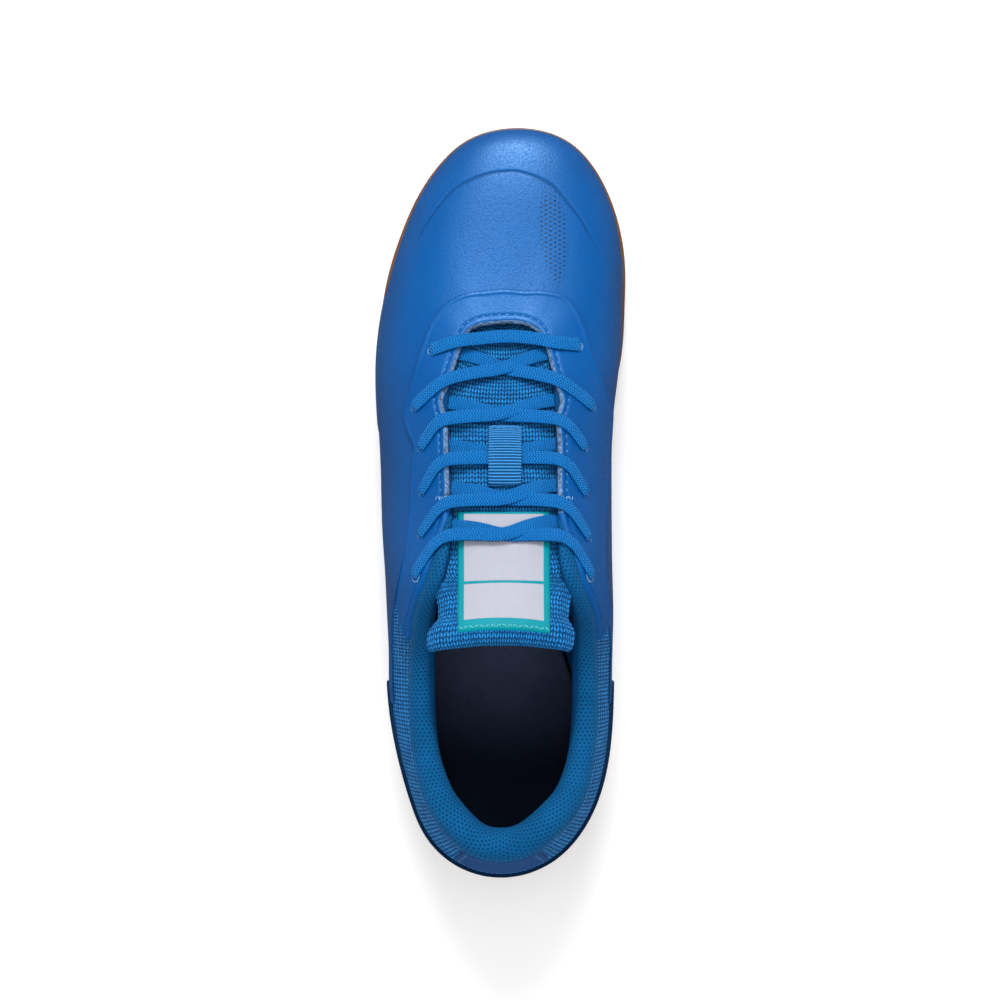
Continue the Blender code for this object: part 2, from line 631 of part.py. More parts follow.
def make_saddle():
    places = stations_between(left_at(7.75), right_at(7.75))
    rows = row_of(places)
    reach = np.where(places < TOE, np.interp(rows, SADDLE_ROWS, SADDLE_LEFT),
                     np.interp(rows, SADDLE_ROWS, SADDLE_RIGHT)) * BALL_WIDTH
    low = 2.0 - reach / upper_length(places)
    high = 2.0 - 0.0006 / upper_length(places)
    return laid_on("lace_saddle", places, low, high, 5, (0.02, 0.15, 0.5))


def make_counter():
    end = 5.2
    places = stations_between(right_at(end) - 1.0, left_at(end))
    ease = np.sqrt(np.clip(1.0 - (row_of(places) / end) ** 6, 0.0, 1.0)) * 0.55 + 0.45
    return laid_on("heel_counter", places, 0.84 - 0.34 * ease, 0.84 + 0.33 * ease, 7, (0.02, 0.11, 0.4))


def make_heel_tab():
    places = stations_between(right_at(1.3) - 1.0, left_at(1.3))
    low = from_edge(places, np.full((len(places), 1), 0.015))[:, 0]
    high = from_edge(places, np.full((len(places), 1), 0.0010))[:, 0]
    return laid_on("heel_tab", places, low, high, 4, (0.02, 0.13, 0.45))


def make_band(name, start, end):
    """Raised band low on the side of the forefoot, with rounded ends."""
    places = stations_between(start, end)
    share = (places - start) / (end - start) * 2.0 - 1.0
    ease = np.sqrt(np.clip(1.0 - share ** 4, 0.0, 1.0)) * 0.75 + 0.25
    return laid_on(name, places, 0.80 - 0.22 * ease, 0.80 + 0.30 * ease, 6, (0.1, 0.2, 0.4))


# Lacing: table row and distance down from the edge, as a share of BALL_WIDTH, of each eyelet, the
# row where the next crossing comes out from under the edge and the row where it goes over it
EYELETS = np.array([
    # row_l  down_l row_r  down_r start  over
    [12.70, 0.090, 12.75, 0.115, 12.70, 11.74],
    [11.10, 0.120, 11.10, 0.145, 11.33, 10.84],
    [10.35, 0.095, 10.35, 0.100, 10.37, 10.00],
    [9.62, 0.110, 9.60, 0.110, 9.63, 9.30],
    [8.90, 0.110, 8.85, 0.115, 9.06, 8.57],
    [8.05, 0.085, 8.05, 0.085, 8.00, 8.00],
])


def eyelet(number, right, lift):
    row, down = EYELETS[number, 2:4] if right else EYELETS[number, :2]
    place = np.array([right_at(row) if right else left_at(row)])
    point, normal = skin(place, from_edge(place, np.array([[down * BALL_WIDTH]])), lift)
    return point[0, 0], normal[0, 0]


def make_eyelet_cutter():
    verts = []
    faces = []
    sides = 6
    turn = 2.0 * np.pi * (np.arange(sides) + 0.5) / sides
    for number in range(len(EYELETS)):
        for right in (False, True):
            point, normal = eyelet(number, right, 0.0)
            first = np.cross(normal, [0.0, 1.0, 0.0])
            first = first / np.linalg.norm(first)
            second = np.cross(normal, first)
            circle = (np.cos(turn)[:, None] * first + np.sin(turn)[:, None] * second) * EYELET / 2.0
            start = len(verts)
            verts += list(point + circle + normal * 0.006) + list(point + circle - normal * 0.008)
            faces.append(list(range(start, start + sides)))
            faces.append(list(range(start + 2 * sides - 1, start + sides - 1, -1)))
            for i in range(sides):
                j = (i + 1) % sides
                faces.append([start + i, start + sides + i, start + sides + j, start + j])
    cutter = finish("eyelet_cutter", verts, faces, (0.5, 0.5, 0.5), 0.5)
    part_set.objects.unlink(cutter)
    cutter_set.objects.link(cutter)
    cutter.hide_render = True
    cutter.display_type = "WIRE"
    return cutter


def cut(piece, cutter):
    change = piece.modifiers.new("eyelets", "BOOLEAN")
    change.operation = "DIFFERENCE"
    change.solver = "EXACT"
    change.object = cutter


SADDLE_TOP = 1.3 * GAP + OVERLAY
LACE_LIFT = SADDLE_TOP + 0.0009 + LACE_THICKNESS / 2.0


CROWN_UP = np.array([0.0, 0.316, 0.949])      # square to the instep along its middle


def strap(path, width, thickness):
    """Flat strap along a path of points, each with the direction that its flat side faces: corner
    points row by row."""
    path, face = path[:, :3], path[:, 3:]
    along = np.gradient(path, axis=0)
    along = along / np.linalg.norm(along, axis=1)[:, None]
    side = np.cross(face, along)
    side = side / np.linalg.norm(side, axis=1)[:, None]
    up = np.cross(along, side)
    w, t = width / 2.0, thickness / 2.0
    corners = [path + side * a * w + up * b * t for a, b in ((1, 1), (-1, 1), (-1, -1), (1, -1))]
    return np.stack(corners, axis=1)


def strap_mesh(corners):
    rows = len(corners)
    faces = grid_faces(rows, 4, wrap_columns=True).tolist()
    faces.append([0, 1, 2, 3])
    last = 4 * (rows - 1)
    faces.append([last + 3, last + 2, last + 1, last])
    return corners.reshape(-1, 3), faces


def smooth_path(points, count):
    """Even points on a smooth open curve through the given ones."""
    points = np.asarray(points)
    for _ in range(4):
        cut_a = points[:-1] * 0.75 + points[1:] * 0.25
        cut_b = points[:-1] * 0.25 + points[1:] * 0.75
        middle = np.stack([cut_a, cut_b], axis=1).reshape(-1, points.shape[1])
        points = np.concatenate([points[:1], middle, points[-1:]])
    steps = np.linalg.norm(np.diff(points[:, :3], axis=0), axis=1)
    arcs = np.concatenate([[0.0], np.cumsum(steps)])
    want = np.linspace(0.0, arcs[-1], count)
    return np.stack([np.interp(want, arcs, column) for column in points.T], axis=1)


def over_edge(row, right, lift):
    place = np.array([right_at(row) if right else left_at(row)])
    point, normal = skin(place, from_edge(place, np.array([[0.0005]])), lift)
    return np.concatenate([point[0, 0], normal[0, 0]])


def crossing_path(number, to_right):
    """Lace from under one edge at this row, over the tongue, to the eyelet of the next row on the
    other side."""
    low = EYELETS[number, 4]
    over = EYELETS[number, 5]
    shares = np.array([0.10, 0.30, 0.50, 0.72])
    rows = low + (over - low) * (shares - 0.10) / 0.9
    rise = np.array([0.0016, 0.0026, 0.0034, 0.0044]) + (0.0018 if number > 2 else 0.0)
    across = shares if to_right else 1.0 - shares
    middle = arch(rows, across[:, None], 0.0)[:, 0] + np.array([0.0, 0.0, 1.0]) * rise[:, None]
    points = [np.concatenate([point, CROWN_UP]) for point in middle]
    points.append(over_edge(over, to_right, LACE_LIFT + 0.0008))
    hole = np.concatenate(eyelet(number + 1, to_right, LACE_LIFT))
    points.append(points[-1] * 0.4 + hole * 0.6)
    points[-1][:3] += hole[3:] * 0.0007
    points.append(hole)
    return smooth_path(points, 10)


def lace_piece(name, paths):
    """Straps joined into one solid."""
    made = []
    for number, path in enumerate(paths):
        verts, faces = strap_mesh(strap(path, LACE_WIDTH, LACE_THICKNESS))
        made.append(finish(name if number == 0 else name + "_second", verts, faces,
                           (0.02, 0.3, 0.75), 0.8))
    first = made[0]
    for other in made[1:]:
        part_set.objects.unlink(other)
        cutter_set.objects.link(other)
        other.hide_render = True
        other.display_type = "WIRE"
        change = first.modifiers.new("join", "BOOLEAN")
        change.operation = "UNION"
        change.solver = "EXACT"
        change.object = other
    return first


def make_lace():
    left = np.concatenate(eyelet(0, False, LACE_LIFT))
    right = np.concatenate(eyelet(0, True, LACE_LIFT))
    points = [left, over_edge(13.35, False, LACE_LIFT + 0.0008)]
    rows = np.array([13.6, 13.8, 13.6])
    middle = arch(rows, np.array([[0.3], [0.5], [0.7]]), 0.0042)[:, 0]
    points += [np.concatenate([point, CROWN_UP]) for point in middle]
    points += [over_edge(13.35, True, LACE_LIFT + 0.0008), right]
    lace_piece("lace_bar", [smooth_path(points, 12)])
    for number in range(len(EYELETS) - 1):
        paths = [crossing_path(number, True), crossing_path(number, False)]
        lace_piece("lace_cross_%d" % (number + 1), paths)


def sheet_solid(name, high, low, colour):
    """Closed solid between two grids of points of one shape."""
    rows, columns = high.shape[:2]
    loops = np.concatenate([high, low[:, ::-1]], axis=1)
    faces = grid_faces(rows, loops.shape[1], wrap_columns=True).tolist()
    width = loops.shape[1]
    for row in (0, rows - 1):
        index = row * width + np.arange(width)
        for j in range(columns - 1):
            faces.append([index[j], index[j + 1], index[width - 2 - j], index[width - 1 - j]])
    return finish(name, loops.reshape(-1, 3), faces, colour, 0.6)


def make_label():
    """Flat woven label on the upper half of the tongue, under the last two crossings."""
    sheet = tongue_sheet()
    order = np.arange(len(sheet))
    first = np.interp(9.4, TONGUE_ROWS[::-1], order[:len(TONGUE_ROWS)][::-1])
    rows = np.linspace(first, len(sheet) - 1.9, 8)
    cell = np.minimum(rows.astype(int), len(sheet) - 2)
    part = (rows - cell)[:, None, None]
    line = sheet[cell] * (1.0 - part) + sheet[cell + 1] * part
    low = []
    for strip in line:
        want = np.linspace(-0.165, 0.193, 8) * BALL_WIDTH
        low.append(np.stack([want, np.interp(want, strip[:, 0], strip[:, 1]),
                             np.interp(want, strip[:, 0], strip[:, 2])], axis=1))
    low = np.array(low) + np.array([0.0, 0.0, 0.0009])
    high = low + np.array([0.0, 0.0, 0.0006])
    return sheet_solid("tongue_label", high, low, (0.75, 0.78, 0.8))


def make_keeper():
    """Short webbing loop on the tongue's middle, over the third crossing."""
    rows = np.linspace(10.72, 9.78, 9)
    share = np.linspace(0.5 - 0.155, 0.5 + 0.155, 4) - 0.01
    rise = 0.0007 + 0.0068 * np.sin(np.pi * np.linspace(0.0, 1.0, 9)) ** 0.45
    low = arch(rows, np.broadcast_to(share, (9, 4)), 0.0)
    low = low + np.array([0.0, 0.0, 1.0]) * rise[:, None, None]
    return sheet_solid("lace_keeper", low + np.array([0.0, 0.0, 0.0011]), low, (0.03, 0.25, 0.6))


for old in list(bpy.data.objects):
    bpy.data.objects.remove(old, do_unlink=True)
part_set = bpy.data.collections.new("indoor_soccer_shoe")
bpy.context.scene.collection.children.link(part_set)

cutter_set = bpy.data.collections.new("indoor_soccer_shoe_cutters")
bpy.context.scene.collection.children.link(cutter_set)

make_outsole()
upper = make_upper()
make_insole()
make_tongue()
saddle = make_saddle()
holes = make_eyelet_cutter()
cut(upper, holes)
cut(saddle, holes)
make_counter()
make_heel_tab()
make_band("left_band", left_at(10.4), left_at(13.6))
make_band("right_band", right_at(14.4), right_at(11.9))
make_lace()
make_label()
make_keeper()
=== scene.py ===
"""Indoor soccer shoe, left foot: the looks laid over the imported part, as a Blender add-on."""
import json

import bmesh
import bpy
import numpy as np
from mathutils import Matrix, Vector

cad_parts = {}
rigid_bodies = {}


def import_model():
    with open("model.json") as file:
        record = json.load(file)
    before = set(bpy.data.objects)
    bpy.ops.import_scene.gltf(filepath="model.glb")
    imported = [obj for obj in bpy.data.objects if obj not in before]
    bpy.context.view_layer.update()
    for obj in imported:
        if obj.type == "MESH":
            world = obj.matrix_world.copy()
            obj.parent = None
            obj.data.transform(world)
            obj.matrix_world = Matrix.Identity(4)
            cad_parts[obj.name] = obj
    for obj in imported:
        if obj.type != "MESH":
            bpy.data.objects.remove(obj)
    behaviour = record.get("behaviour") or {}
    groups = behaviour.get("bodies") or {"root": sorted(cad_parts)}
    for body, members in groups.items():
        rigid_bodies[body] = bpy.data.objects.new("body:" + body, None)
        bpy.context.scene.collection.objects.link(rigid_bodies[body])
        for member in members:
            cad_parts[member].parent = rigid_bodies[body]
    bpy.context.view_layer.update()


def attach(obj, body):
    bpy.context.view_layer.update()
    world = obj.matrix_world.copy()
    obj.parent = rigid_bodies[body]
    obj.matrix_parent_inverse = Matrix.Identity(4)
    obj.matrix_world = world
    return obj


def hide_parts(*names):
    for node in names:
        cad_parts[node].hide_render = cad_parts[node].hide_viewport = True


bl_info = {
    "name": "Indoor Soccer Shoe",
    "version": (1, 0, 0),
    "blender": (4, 5, 0),
    "location": "View3D > Sidebar > Shoe",
    "description": "Builds the upper, tongue, laces and gum sole of an indoor soccer shoe",
    "category": "Object",
}

for old in list(bpy.data.objects):
    bpy.data.objects.remove(old, do_unlink=True)
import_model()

# Driving sizes of the last, metres, the same as the part's
LENGTH = 0.290
BALL_WIDTH = 0.100
HEEL_HEIGHT = 0.084
INSTEP_HEIGHT = 0.096
SOLE_HEIGHT = 0.026
WALL = 0.0022
COLLAR_PAD = 0.0085
SOLE_LIP = 0.0036
INSOLE_THICKNESS = 0.0040
OVERLAY = 0.0012
GAP = 0.00035

# Outline seen from above, share of LENGTH from the heel, then shares of BALL_WIDTH
PLAN = np.array([
    # share  left    right   tuck_l tuck_r in_l   in_r
    [0.000, -0.004, -0.004, 0.025, 0.025, 0.016, 0.016],
    [0.025, -0.211, 0.223, 0.015, 0.015, 0.016, 0.016],
    [0.060, -0.300, 0.318, 0.008, 0.008, 0.016, 0.016],
    [0.100, -0.348, 0.378, 0.014, 0.012, 0.016, 0.016],
    [0.160, -0.395, 0.421, 0.042, 0.036, 0.014, 0.014],
    [0.240, -0.430, 0.434, 0.085, 0.075, 0.010, 0.010],
    [0.300, -0.427, 0.431, 0.108, 0.126, 0.004, 0.004],
    [0.350, -0.429, 0.429, 0.128, 0.165, 0.000, 0.000],
    [0.400, -0.436, 0.426, 0.134, 0.186, 0.000, 0.000],
    [0.460, -0.448, 0.425, 0.118, 0.182, 0.000, 0.000],
    [0.540, -0.463, 0.425, 0.074, 0.112, 0.008, 0.000],
    [0.620, -0.484, 0.441, 0.046, 0.024, 0.016, 0.006],
    [0.690, -0.490, 0.475, 0.025, 0.000, 0.016, 0.014],
    [0.760, -0.469, 0.488, 0.008, 0.000, 0.016, 0.018],
    [0.820, -0.425, 0.489, 0.000, 0.000, 0.014, 0.016],
    [0.870, -0.374, 0.466, 0.000, 0.000, 0.013, 0.013],
    [0.910, -0.320, 0.427, 0.000, 0.000, 0.013, 0.013],
    [0.950, -0.240, 0.362, 0.000, 0.000, 0.013, 0.013],
    [0.980, -0.146, 0.276, 0.000, 0.000, 0.013, 0.013],
    [1.000, 0.080, 0.080, 0.000, 0.000, 0.013, 0.013],
])

# Sole heights at the same stations, shares of SOLE_HEIGHT: bottom, bed, rim
SOLE = np.array([
    [0.230, 0.810, 1.040], [0.150, 0.800, 1.020], [0.060, 0.795, 1.010], [0.010, 0.790, 1.000],
    [0.000, 0.780, 0.985], [0.000, 0.760, 0.945], [0.030, 0.720, 0.900], [0.077, 0.677, 0.845],
    [0.108, 0.630, 0.800], [0.085, 0.577, 0.745], [0.027, 0.490, 0.700], [0.000, 0.423, 0.670],
    [0.000, 0.392, 0.655], [0.008, 0.385, 0.660], [0.054, 0.400, 0.690], [0.130, 0.445, 0.745],
    [0.215, 0.510, 0.800], [0.315, 0.590, 0.860], [0.392, 0.655, 0.907], [0.438, 0.690, 0.938],
])

# Edge of the opening: share of LENGTH, left and right, share of HEEL_HEIGHT and INSTEP_HEIGHT
EDGE = np.array([
    [0.038, -0.002, -0.002, 0.955, 0.000], [0.052, -0.135, 0.145, 0.950, 0.000],
    [0.078, -0.215, 0.235, 0.930, 0.000], [0.108, -0.270, 0.300, 0.895, 0.000],
    [0.160, -0.315, 0.345, 0.825, 0.000], [0.240, -0.335, 0.362, 0.772, 0.000],
    [0.300, -0.328, 0.355, 0.600, 0.210], [0.350, -0.306, 0.334, 0.200, 0.700],
    [0.400, -0.245, 0.268, 0.000, 0.990], [0.460, -0.197, 0.230, 0.000, 0.945],
    [0.540, -0.200, 0.224, 0.000, 0.855], [0.610, -0.212, 0.222, 0.000, 0.775],
    [0.655, -0.196, 0.212, 0.000, 0.735], [0.688, -0.168, 0.195, 0.000, 0.703],
    [0.712, -0.145, 0.176, 0.000, 0.680], [0.727, -0.120, 0.148, 0.000, 0.664],
    [0.735, -0.090, 0.115, 0.000, 0.657], [0.738, -0.055, 0.080, 0.000, 0.652],
    [0.739, -0.022, 0.047, 0.000, 0.650], [0.739, 0.013, 0.013, 0.000, 0.650],
])

# Swell of each section: belly, rise left and right, lean in degrees, pull, pad
SWELL = np.array([
    [0.280, 0.500, 0.500, 78.0, 0.330, 1.000], [0.280, 0.500, 0.500, 77.0, 0.330, 1.000],
    [0.280, 0.500, 0.500, 76.0, 0.330, 1.000], [0.285, 0.490, 0.490, 74.0, 0.330, 0.950],
    [0.310, 0.470, 0.470, 70.0, 0.330, 0.900], [0.340, 0.450, 0.450, 66.0, 0.330, 0.850],
    [0.310, 0.440, 0.440, 64.0, 0.330, 0.800], [0.260, 0.420, 0.440, 58.0, 0.330, 0.620],
    [0.230, 0.400, 0.420, 46.0, 0.320, 0.280], [0.235, 0.390, 0.430, 40.0, 0.320, 0.050],
    [0.250, 0.390, 0.450, 37.0, 0.330, 0.000], [0.240, 0.400, 0.480, 33.0, 0.350, 0.000],
    [0.220, 0.420, 0.500, 29.0, 0.380, 0.000], [0.200, 0.450, 0.520, 26.0, 0.410, 0.000],
    [0.190, 0.480, 0.530, 24.0, 0.440, 0.000], [0.180, 0.510, 0.540, 22.0, 0.460, 0.000],
    [0.180, 0.530, 0.550, 21.0, 0.480, 0.000], [0.180, 0.540, 0.550, 20.0, 0.500, 0.000],
    [0.180, 0.550, 0.550, 20.0, 0.510, 0.000], [0.180, 0.550, 0.550, 20.0, 0.510, 0.000],
])


# Form of the last and the upper

def closed(left, right):
    """Values round the shoe: heel, up the left side to the toe, down the right side."""
    return np.concatenate([left[:-1], right[:0:-1]])


def ring_spline(knots, values):
    """Smooth closed curve through values at knots, as a function of place 0 to 1: a cubic between
    each pair of knots, with the same slope and bend where they meet."""
    size = len(knots)
    step = np.diff(np.append(knots, knots[0] + 1.0))
    before = np.roll(step, 1)
    matrix = np.zeros((size, size))
    here = np.arange(size)
    matrix[here, here] = 2.0 * (step + before)
    matrix[here, (here + 1) % size] = step
    matrix[here, (here - 1) % size] = before
    slope = (np.roll(values, -1) - values) / step
    bend = np.linalg.solve(matrix, 6.0 * (slope - np.roll(slope, 1)))

    def value(place):
        place = np.mod(place - knots[0], 1.0) + knots[0]
        cell = np.clip(np.searchsorted(knots, place, side="right") - 1, 0, size - 1)
        after = (cell + 1) % size
        width = step[cell]
        one = (place - knots[cell]) / width
        two = 1.0 - one
        smooth = (two ** 3 - two) * bend[cell] + (one ** 3 - one) * bend[after]
        return two * values[cell] + one * values[after] + smooth * width ** 2 / 6.0

    return value


ALONG = PLAN[:, 0] * LENGTH - LENGTH / 2.0
knot_x = closed(PLAN[:, 1], PLAN[:, 2]) * BALL_WIDTH
knot_y = closed(ALONG, ALONG)
chord = np.hypot(np.diff(np.append(knot_x, knot_x[0])), np.diff(np.append(knot_y, knot_y[0])))
KNOTS = np.concatenate([[0.0], np.cumsum(chord)[:-1]]) / np.sum(chord)
ROUND = float(np.sum(chord))
TOE = KNOTS[len(PLAN) - 1]
LAST = len(PLAN) - 1
LEFT_PLACES = KNOTS[:LAST + 1]
RIGHT_PLACES = np.append(1.0, KNOTS[:LAST - 1:-1])


def curve(left, right=None):
    return ring_spline(KNOTS, closed(left, left if right is None else right))


outline_x = curve(PLAN[:, 1] * BALL_WIDTH, PLAN[:, 2] * BALL_WIDTH)
outline_y = curve(ALONG)
sole_tuck = curve(PLAN[:, 3] * BALL_WIDTH, PLAN[:, 4] * BALL_WIDTH)
upper_inset = curve(PLAN[:, 5] * BALL_WIDTH, PLAN[:, 6] * BALL_WIDTH)
bottom_line = curve(SOLE[:, 0] * SOLE_HEIGHT)
bed_z = curve(SOLE[:, 1] * SOLE_HEIGHT)
rim_z = curve(SOLE[:, 2] * SOLE_HEIGHT)
edge_x = curve(EDGE[:, 1] * BALL_WIDTH, EDGE[:, 2] * BALL_WIDTH)
edge_y = curve(EDGE[:, 0] * LENGTH - LENGTH / 2.0)
edge_z = curve(EDGE[:, 3] * HEEL_HEIGHT + EDGE[:, 4] * INSTEP_HEIGHT)
belly = curve(SWELL[:, 0])
rise = curve(SWELL[:, 1], SWELL[:, 2])
lean = curve(np.radians(SWELL[:, 3]))
pull = curve(SWELL[:, 4])
pad = curve(SWELL[:, 5] * COLLAR_PAD)


def stack(x, y, z):
    return np.stack(np.broadcast_arrays(x, y, z), axis=-1)


def unit(vector):
    return vector / np.maximum(np.linalg.norm(vector, axis=-1), 1e-12)[..., None]


def bottom_z(place):
    return np.maximum(bottom_line(place) - 0.004 * SOLE_HEIGHT, 0.0)


def inward(place):
    """Level direction square to the outline, pointing into the shoe."""
    step = 1e-4
    dx = outline_x(place + step) - outline_x(place - step)
    dy = outline_y(place + step) - outline_y(place - step)
    size = np.hypot(dx, dy)
    return dy / size, -dx / size


def offset_outline(place, inset, z):
    nx, ny = inward(place)
    return stack(outline_x(place) + nx * inset, outline_y(place) + ny * inset, z)


def bezier(a, b, c, d, share):
    a, b, c, d = (p[..., None, :] for p in (a, b, c, d))
    s = share[:, None]
    r = 1.0 - s
    return r ** 3 * a + 3 * r * r * s * b + 3 * r * s * s * c + s ** 3 * d


DENSE = np.linspace(0.0, 1.0, 49)


def rib(place):
    """Section of the upper at each place: one cubic from the sole's bed to the widest line and one
    from there to the edge of the opening, both as dense curves."""
    base_z = bed_z(place) + GAP
    wide_z = rim_z(place) + belly(place) * (edge_z(place) - rim_z(place))
    foot = offset_outline(place, sole_tuck(place) + SOLE_LIP, base_z)
    wide = offset_outline(place, upper_inset(place), wide_z)
    edge = stack(edge_x(place), edge_y(place), edge_z(place))
    up = np.array([0.0, 0.0, 1.0])
    tall = (wide_z - base_z)[..., None]
    rim = (rim_z(place) - bed_z(place))[..., None]
    begin = np.minimum(np.maximum(0.45 * tall, 1.5 * rim), 0.62 * tall)
    low = bezier(foot, foot + begin * up, wide - 0.38 * tall * up, wide, DENSE)
    flat = unit((edge - wide) * np.array([1.0, 1.0, 0.0]))
    reach = np.linalg.norm(edge - wide, axis=-1)
    slope = np.cos(lean(place))[..., None] * flat + np.sin(lean(place))[..., None] * up
    start = (rise(place) * (edge_z(place) - wide_z))[..., None] * up
    high = bezier(wide, wide + start, edge - (pull(place) * reach)[..., None] * slope, edge, DENSE)
    return low, high


def arc_lengths(lines):
    steps = np.linalg.norm(np.diff(lines, axis=-2), axis=-1)
    return np.concatenate([np.zeros(steps.shape[:-1] + (1,)), np.cumsum(steps, axis=-1)], axis=-1)


def pick(lines, share):
    """Points at even-length shares (rows x any) along each dense curve."""
    arcs = arc_lengths(lines)
    arcs = arcs / arcs[:, -1:]
    rows = np.arange(len(lines))[:, None]
    flat = (arcs + 2.0 * rows).ravel()
    cell = np.clip(np.searchsorted(flat, share + 2.0 * rows, side="right") - 1
                   - rows * lines.shape[1], 0, lines.shape[1] - 2)
    low = np.take_along_axis(arcs, cell, axis=1)
    high = np.take_along_axis(arcs, cell + 1, axis=1)
    part = np.clip((share - low) / np.maximum(high - low, 1e-12), 0.0, 1.0)[..., None]
    first = np.take_along_axis(lines, cell[..., None], axis=1)
    second = np.take_along_axis(lines, cell[..., None] + 1, axis=1)
    return first * (1.0 - part) + second * part


def raw_skin(place, climb):
    """Outer face of the upper. climb is 0 at the sole's bed, 1 at the widest line, 2 at the edge."""
    low, high = rib(place)
    under = pick(low, np.clip(climb, 0.0, 1.0))
    over = pick(high, np.clip(climb - 1.0, 0.0, 1.0))
    return np.where((climb < 1.0)[..., None], under, over)


def skin(place, climb, lift=0.0):
    """Outer face moved out by lift along its own normal, with that normal."""
    step = 2e-3
    point = raw_skin(place, climb)
    ahead = raw_skin(place + step, climb) - raw_skin(place - step, climb)
    above = raw_skin(place, np.minimum(climb + 0.02, 2.0)) - raw_skin(place, np.maximum(climb - 0.02, 0.0))
    normal = unit(np.cross(above, ahead))
    return point + normal * np.asarray(lift)[..., None], normal


def upper_length(place):
    return arc_lengths(rib(place)[1])[:, -1]


def from_edge(place, distance):
    """Climb of points a given distance down from the edge of the opening."""
    return 2.0 - distance / upper_length(place)[:, None]


def wall(place, climb):
    """Thickness of the upper: the plain wall and the collar's padding, fading down from the edge."""
    down = (2.0 - climb) * upper_length(place)[:, None]
    fade = np.clip(1.0 - (down - 0.010) / 0.026, 0.0, 1.0)
    fade = fade * fade * (3.0 - 2.0 * fade)
    return WALL + np.maximum(pad(place), 0.0)[:, None] * fade


def shell(place, down, lift=0.0):
    """Face of the upper and its normal. down is the distance below the edge of the opening; below
    zero it runs over the half round crest, whose radius is half the wall, and on down the inside."""
    outer, outer_normal = skin(place, from_edge(place, np.maximum(down, 0.0)))
    top = np.full((len(place), 1), 2.0)
    a = skin(place, top)[0]
    b = skin(place, top, -wall(place, top))[0]
    middle, half = (a + b) / 2.0, (a - b) / 2.0
    radius = np.linalg.norm(half, axis=-1)
    rising = unit(a - skin(place, from_edge(place, np.full((len(place), 1), 0.001)))[0])
    turn = np.clip(-down / radius, 0.0, np.pi)[..., None]
    swing = half * np.cos(turn) + rising * radius[..., None] * np.sin(turn)
    inside = np.clip(-down - np.pi * radius, 0.0, None)
    climb = np.maximum(from_edge(place, inside), 0.02)
    inner, inner_normal = skin(place, climb)
    inner = inner - inner_normal * wall(place, climb)[..., None]
    on_crest = ((down < 0.0) & (inside <= 0.0))[..., None]
    point = np.where(on_crest, middle + swing, np.where((down >= 0.0)[..., None], outer, inner))
    normal = np.where(on_crest, unit(swing), np.where((down >= 0.0)[..., None], outer_normal,
                                                      -inner_normal))
    return point + normal * np.asarray(lift)[..., None], normal


def ledge(place, down, lift=0.0):
    """Outer face of the upper and its normal; above the edge it runs straight on as a free flap."""
    point, normal = skin(place, from_edge(place, np.maximum(down, 0.0)), lift)
    edge = skin(place, np.full((len(place), 1), 2.0))[0]
    before = skin(place, from_edge(place, np.full((len(place), 1), 0.002)))[0]
    return point + unit(edge - before) * np.maximum(-down, 0.0)[..., None], normal


def left_at(row):
    return np.interp(row, np.arange(LAST + 1), LEFT_PLACES)


def right_at(row):
    return np.interp(row, np.arange(LAST + 1), RIGHT_PLACES)


def row_of(place):
    """Table row, counted from the heel on either side, at a place round the shoe."""
    place = np.mod(place, 1.0)
    left = np.interp(place, LEFT_PLACES, np.arange(LAST + 1))
    right = np.interp(-place, -RIGHT_PLACES, np.arange(LAST + 1))
    return np.where(place <= TOE, left, right)


def flow(x, knots, values):
    """Smooth curve through values at knots: a cubic between knots, with the slopes of its
    neighbours, and flat beyond both ends."""
    knots, values = np.asarray(knots, float), np.asarray(values, float)
    slope = np.gradient(values, knots, axis=0)
    x = np.clip(x, knots[0], knots[-1])
    cell = np.clip(np.searchsorted(knots, x, side="right") - 1, 0, len(knots) - 2)
    width = (knots[cell + 1] - knots[cell])
    s = (x - knots[cell]) / width
    if values.ndim > 1:
        width, s = width[..., None], s[..., None]
    r = 1.0 - s
    return (values[cell] * r * r * (1 + 2 * s) + slope[cell] * width * s * r * r
            + values[cell + 1] * s * s * (3 - 2 * s) - slope[cell + 1] * width * s * s * r)


def two_sided(place, rows, left, right):
    """Value at each place from a table on the left side and one on the right."""
    row = row_of(place)
    value = flow(row, rows, left)
    other = flow(row, rows, right)
    return np.where(np.mod(place, 1.0) <= TOE, value, other)


def places_between(start, end, step=0.0011):
    """Even places from start to end, with close ones at both ends for the turned edge."""
    count = int(abs(end - start) * ROUND / step) + 2
    fine = np.array([0.0, 0.00012, 0.0004]) / ROUND * np.sign(end - start)
    return np.concatenate([start + fine, np.linspace(start, end, count)[1:-1], (end - fine)[::-1]])


# Tongue and lacing, the same as the part's

TONGUE_TOP = np.array([
    # along  middle half   height fall
    [0.386, 0.014, 0.205, 1.062, 0.072],
    [0.370, 0.013, 0.212, 1.086, 0.073],
    [0.353, 0.008, 0.238, 1.112, 0.082],
    [0.337, 0.002, 0.258, 1.136, 0.092],
    [0.321, -0.001, 0.262, 1.155, 0.096],
])
TONGUE_ROWS = np.array([19.0, 18.4, 17.7, 16.8, 15.8, 14.8, 13.8, 12.9, 12.1, 11.4, 10.7, 10.0, 9.3,
                        8.7, 8.2])
TONGUE_REACH = np.interp(TONGUE_ROWS, [8.2, 9.3, 11.0, 19.0], [0.30, 0.60, 1.0, 1.0])
TONGUE_TUCK = 0.012
TONGUE_CLEAR = 0.0008
UNDER = np.array([1.0, 0.66, 0.33, 0.0])
BRIDGE = np.array([0.12, 0.30, 0.50, 0.70, 0.88])
ACROSS = np.array([-1.0, -0.90, -0.78, -0.66, -0.50, -0.27, 0.0, 0.27, 0.50, 0.66, 0.78, 0.90, 1.0])
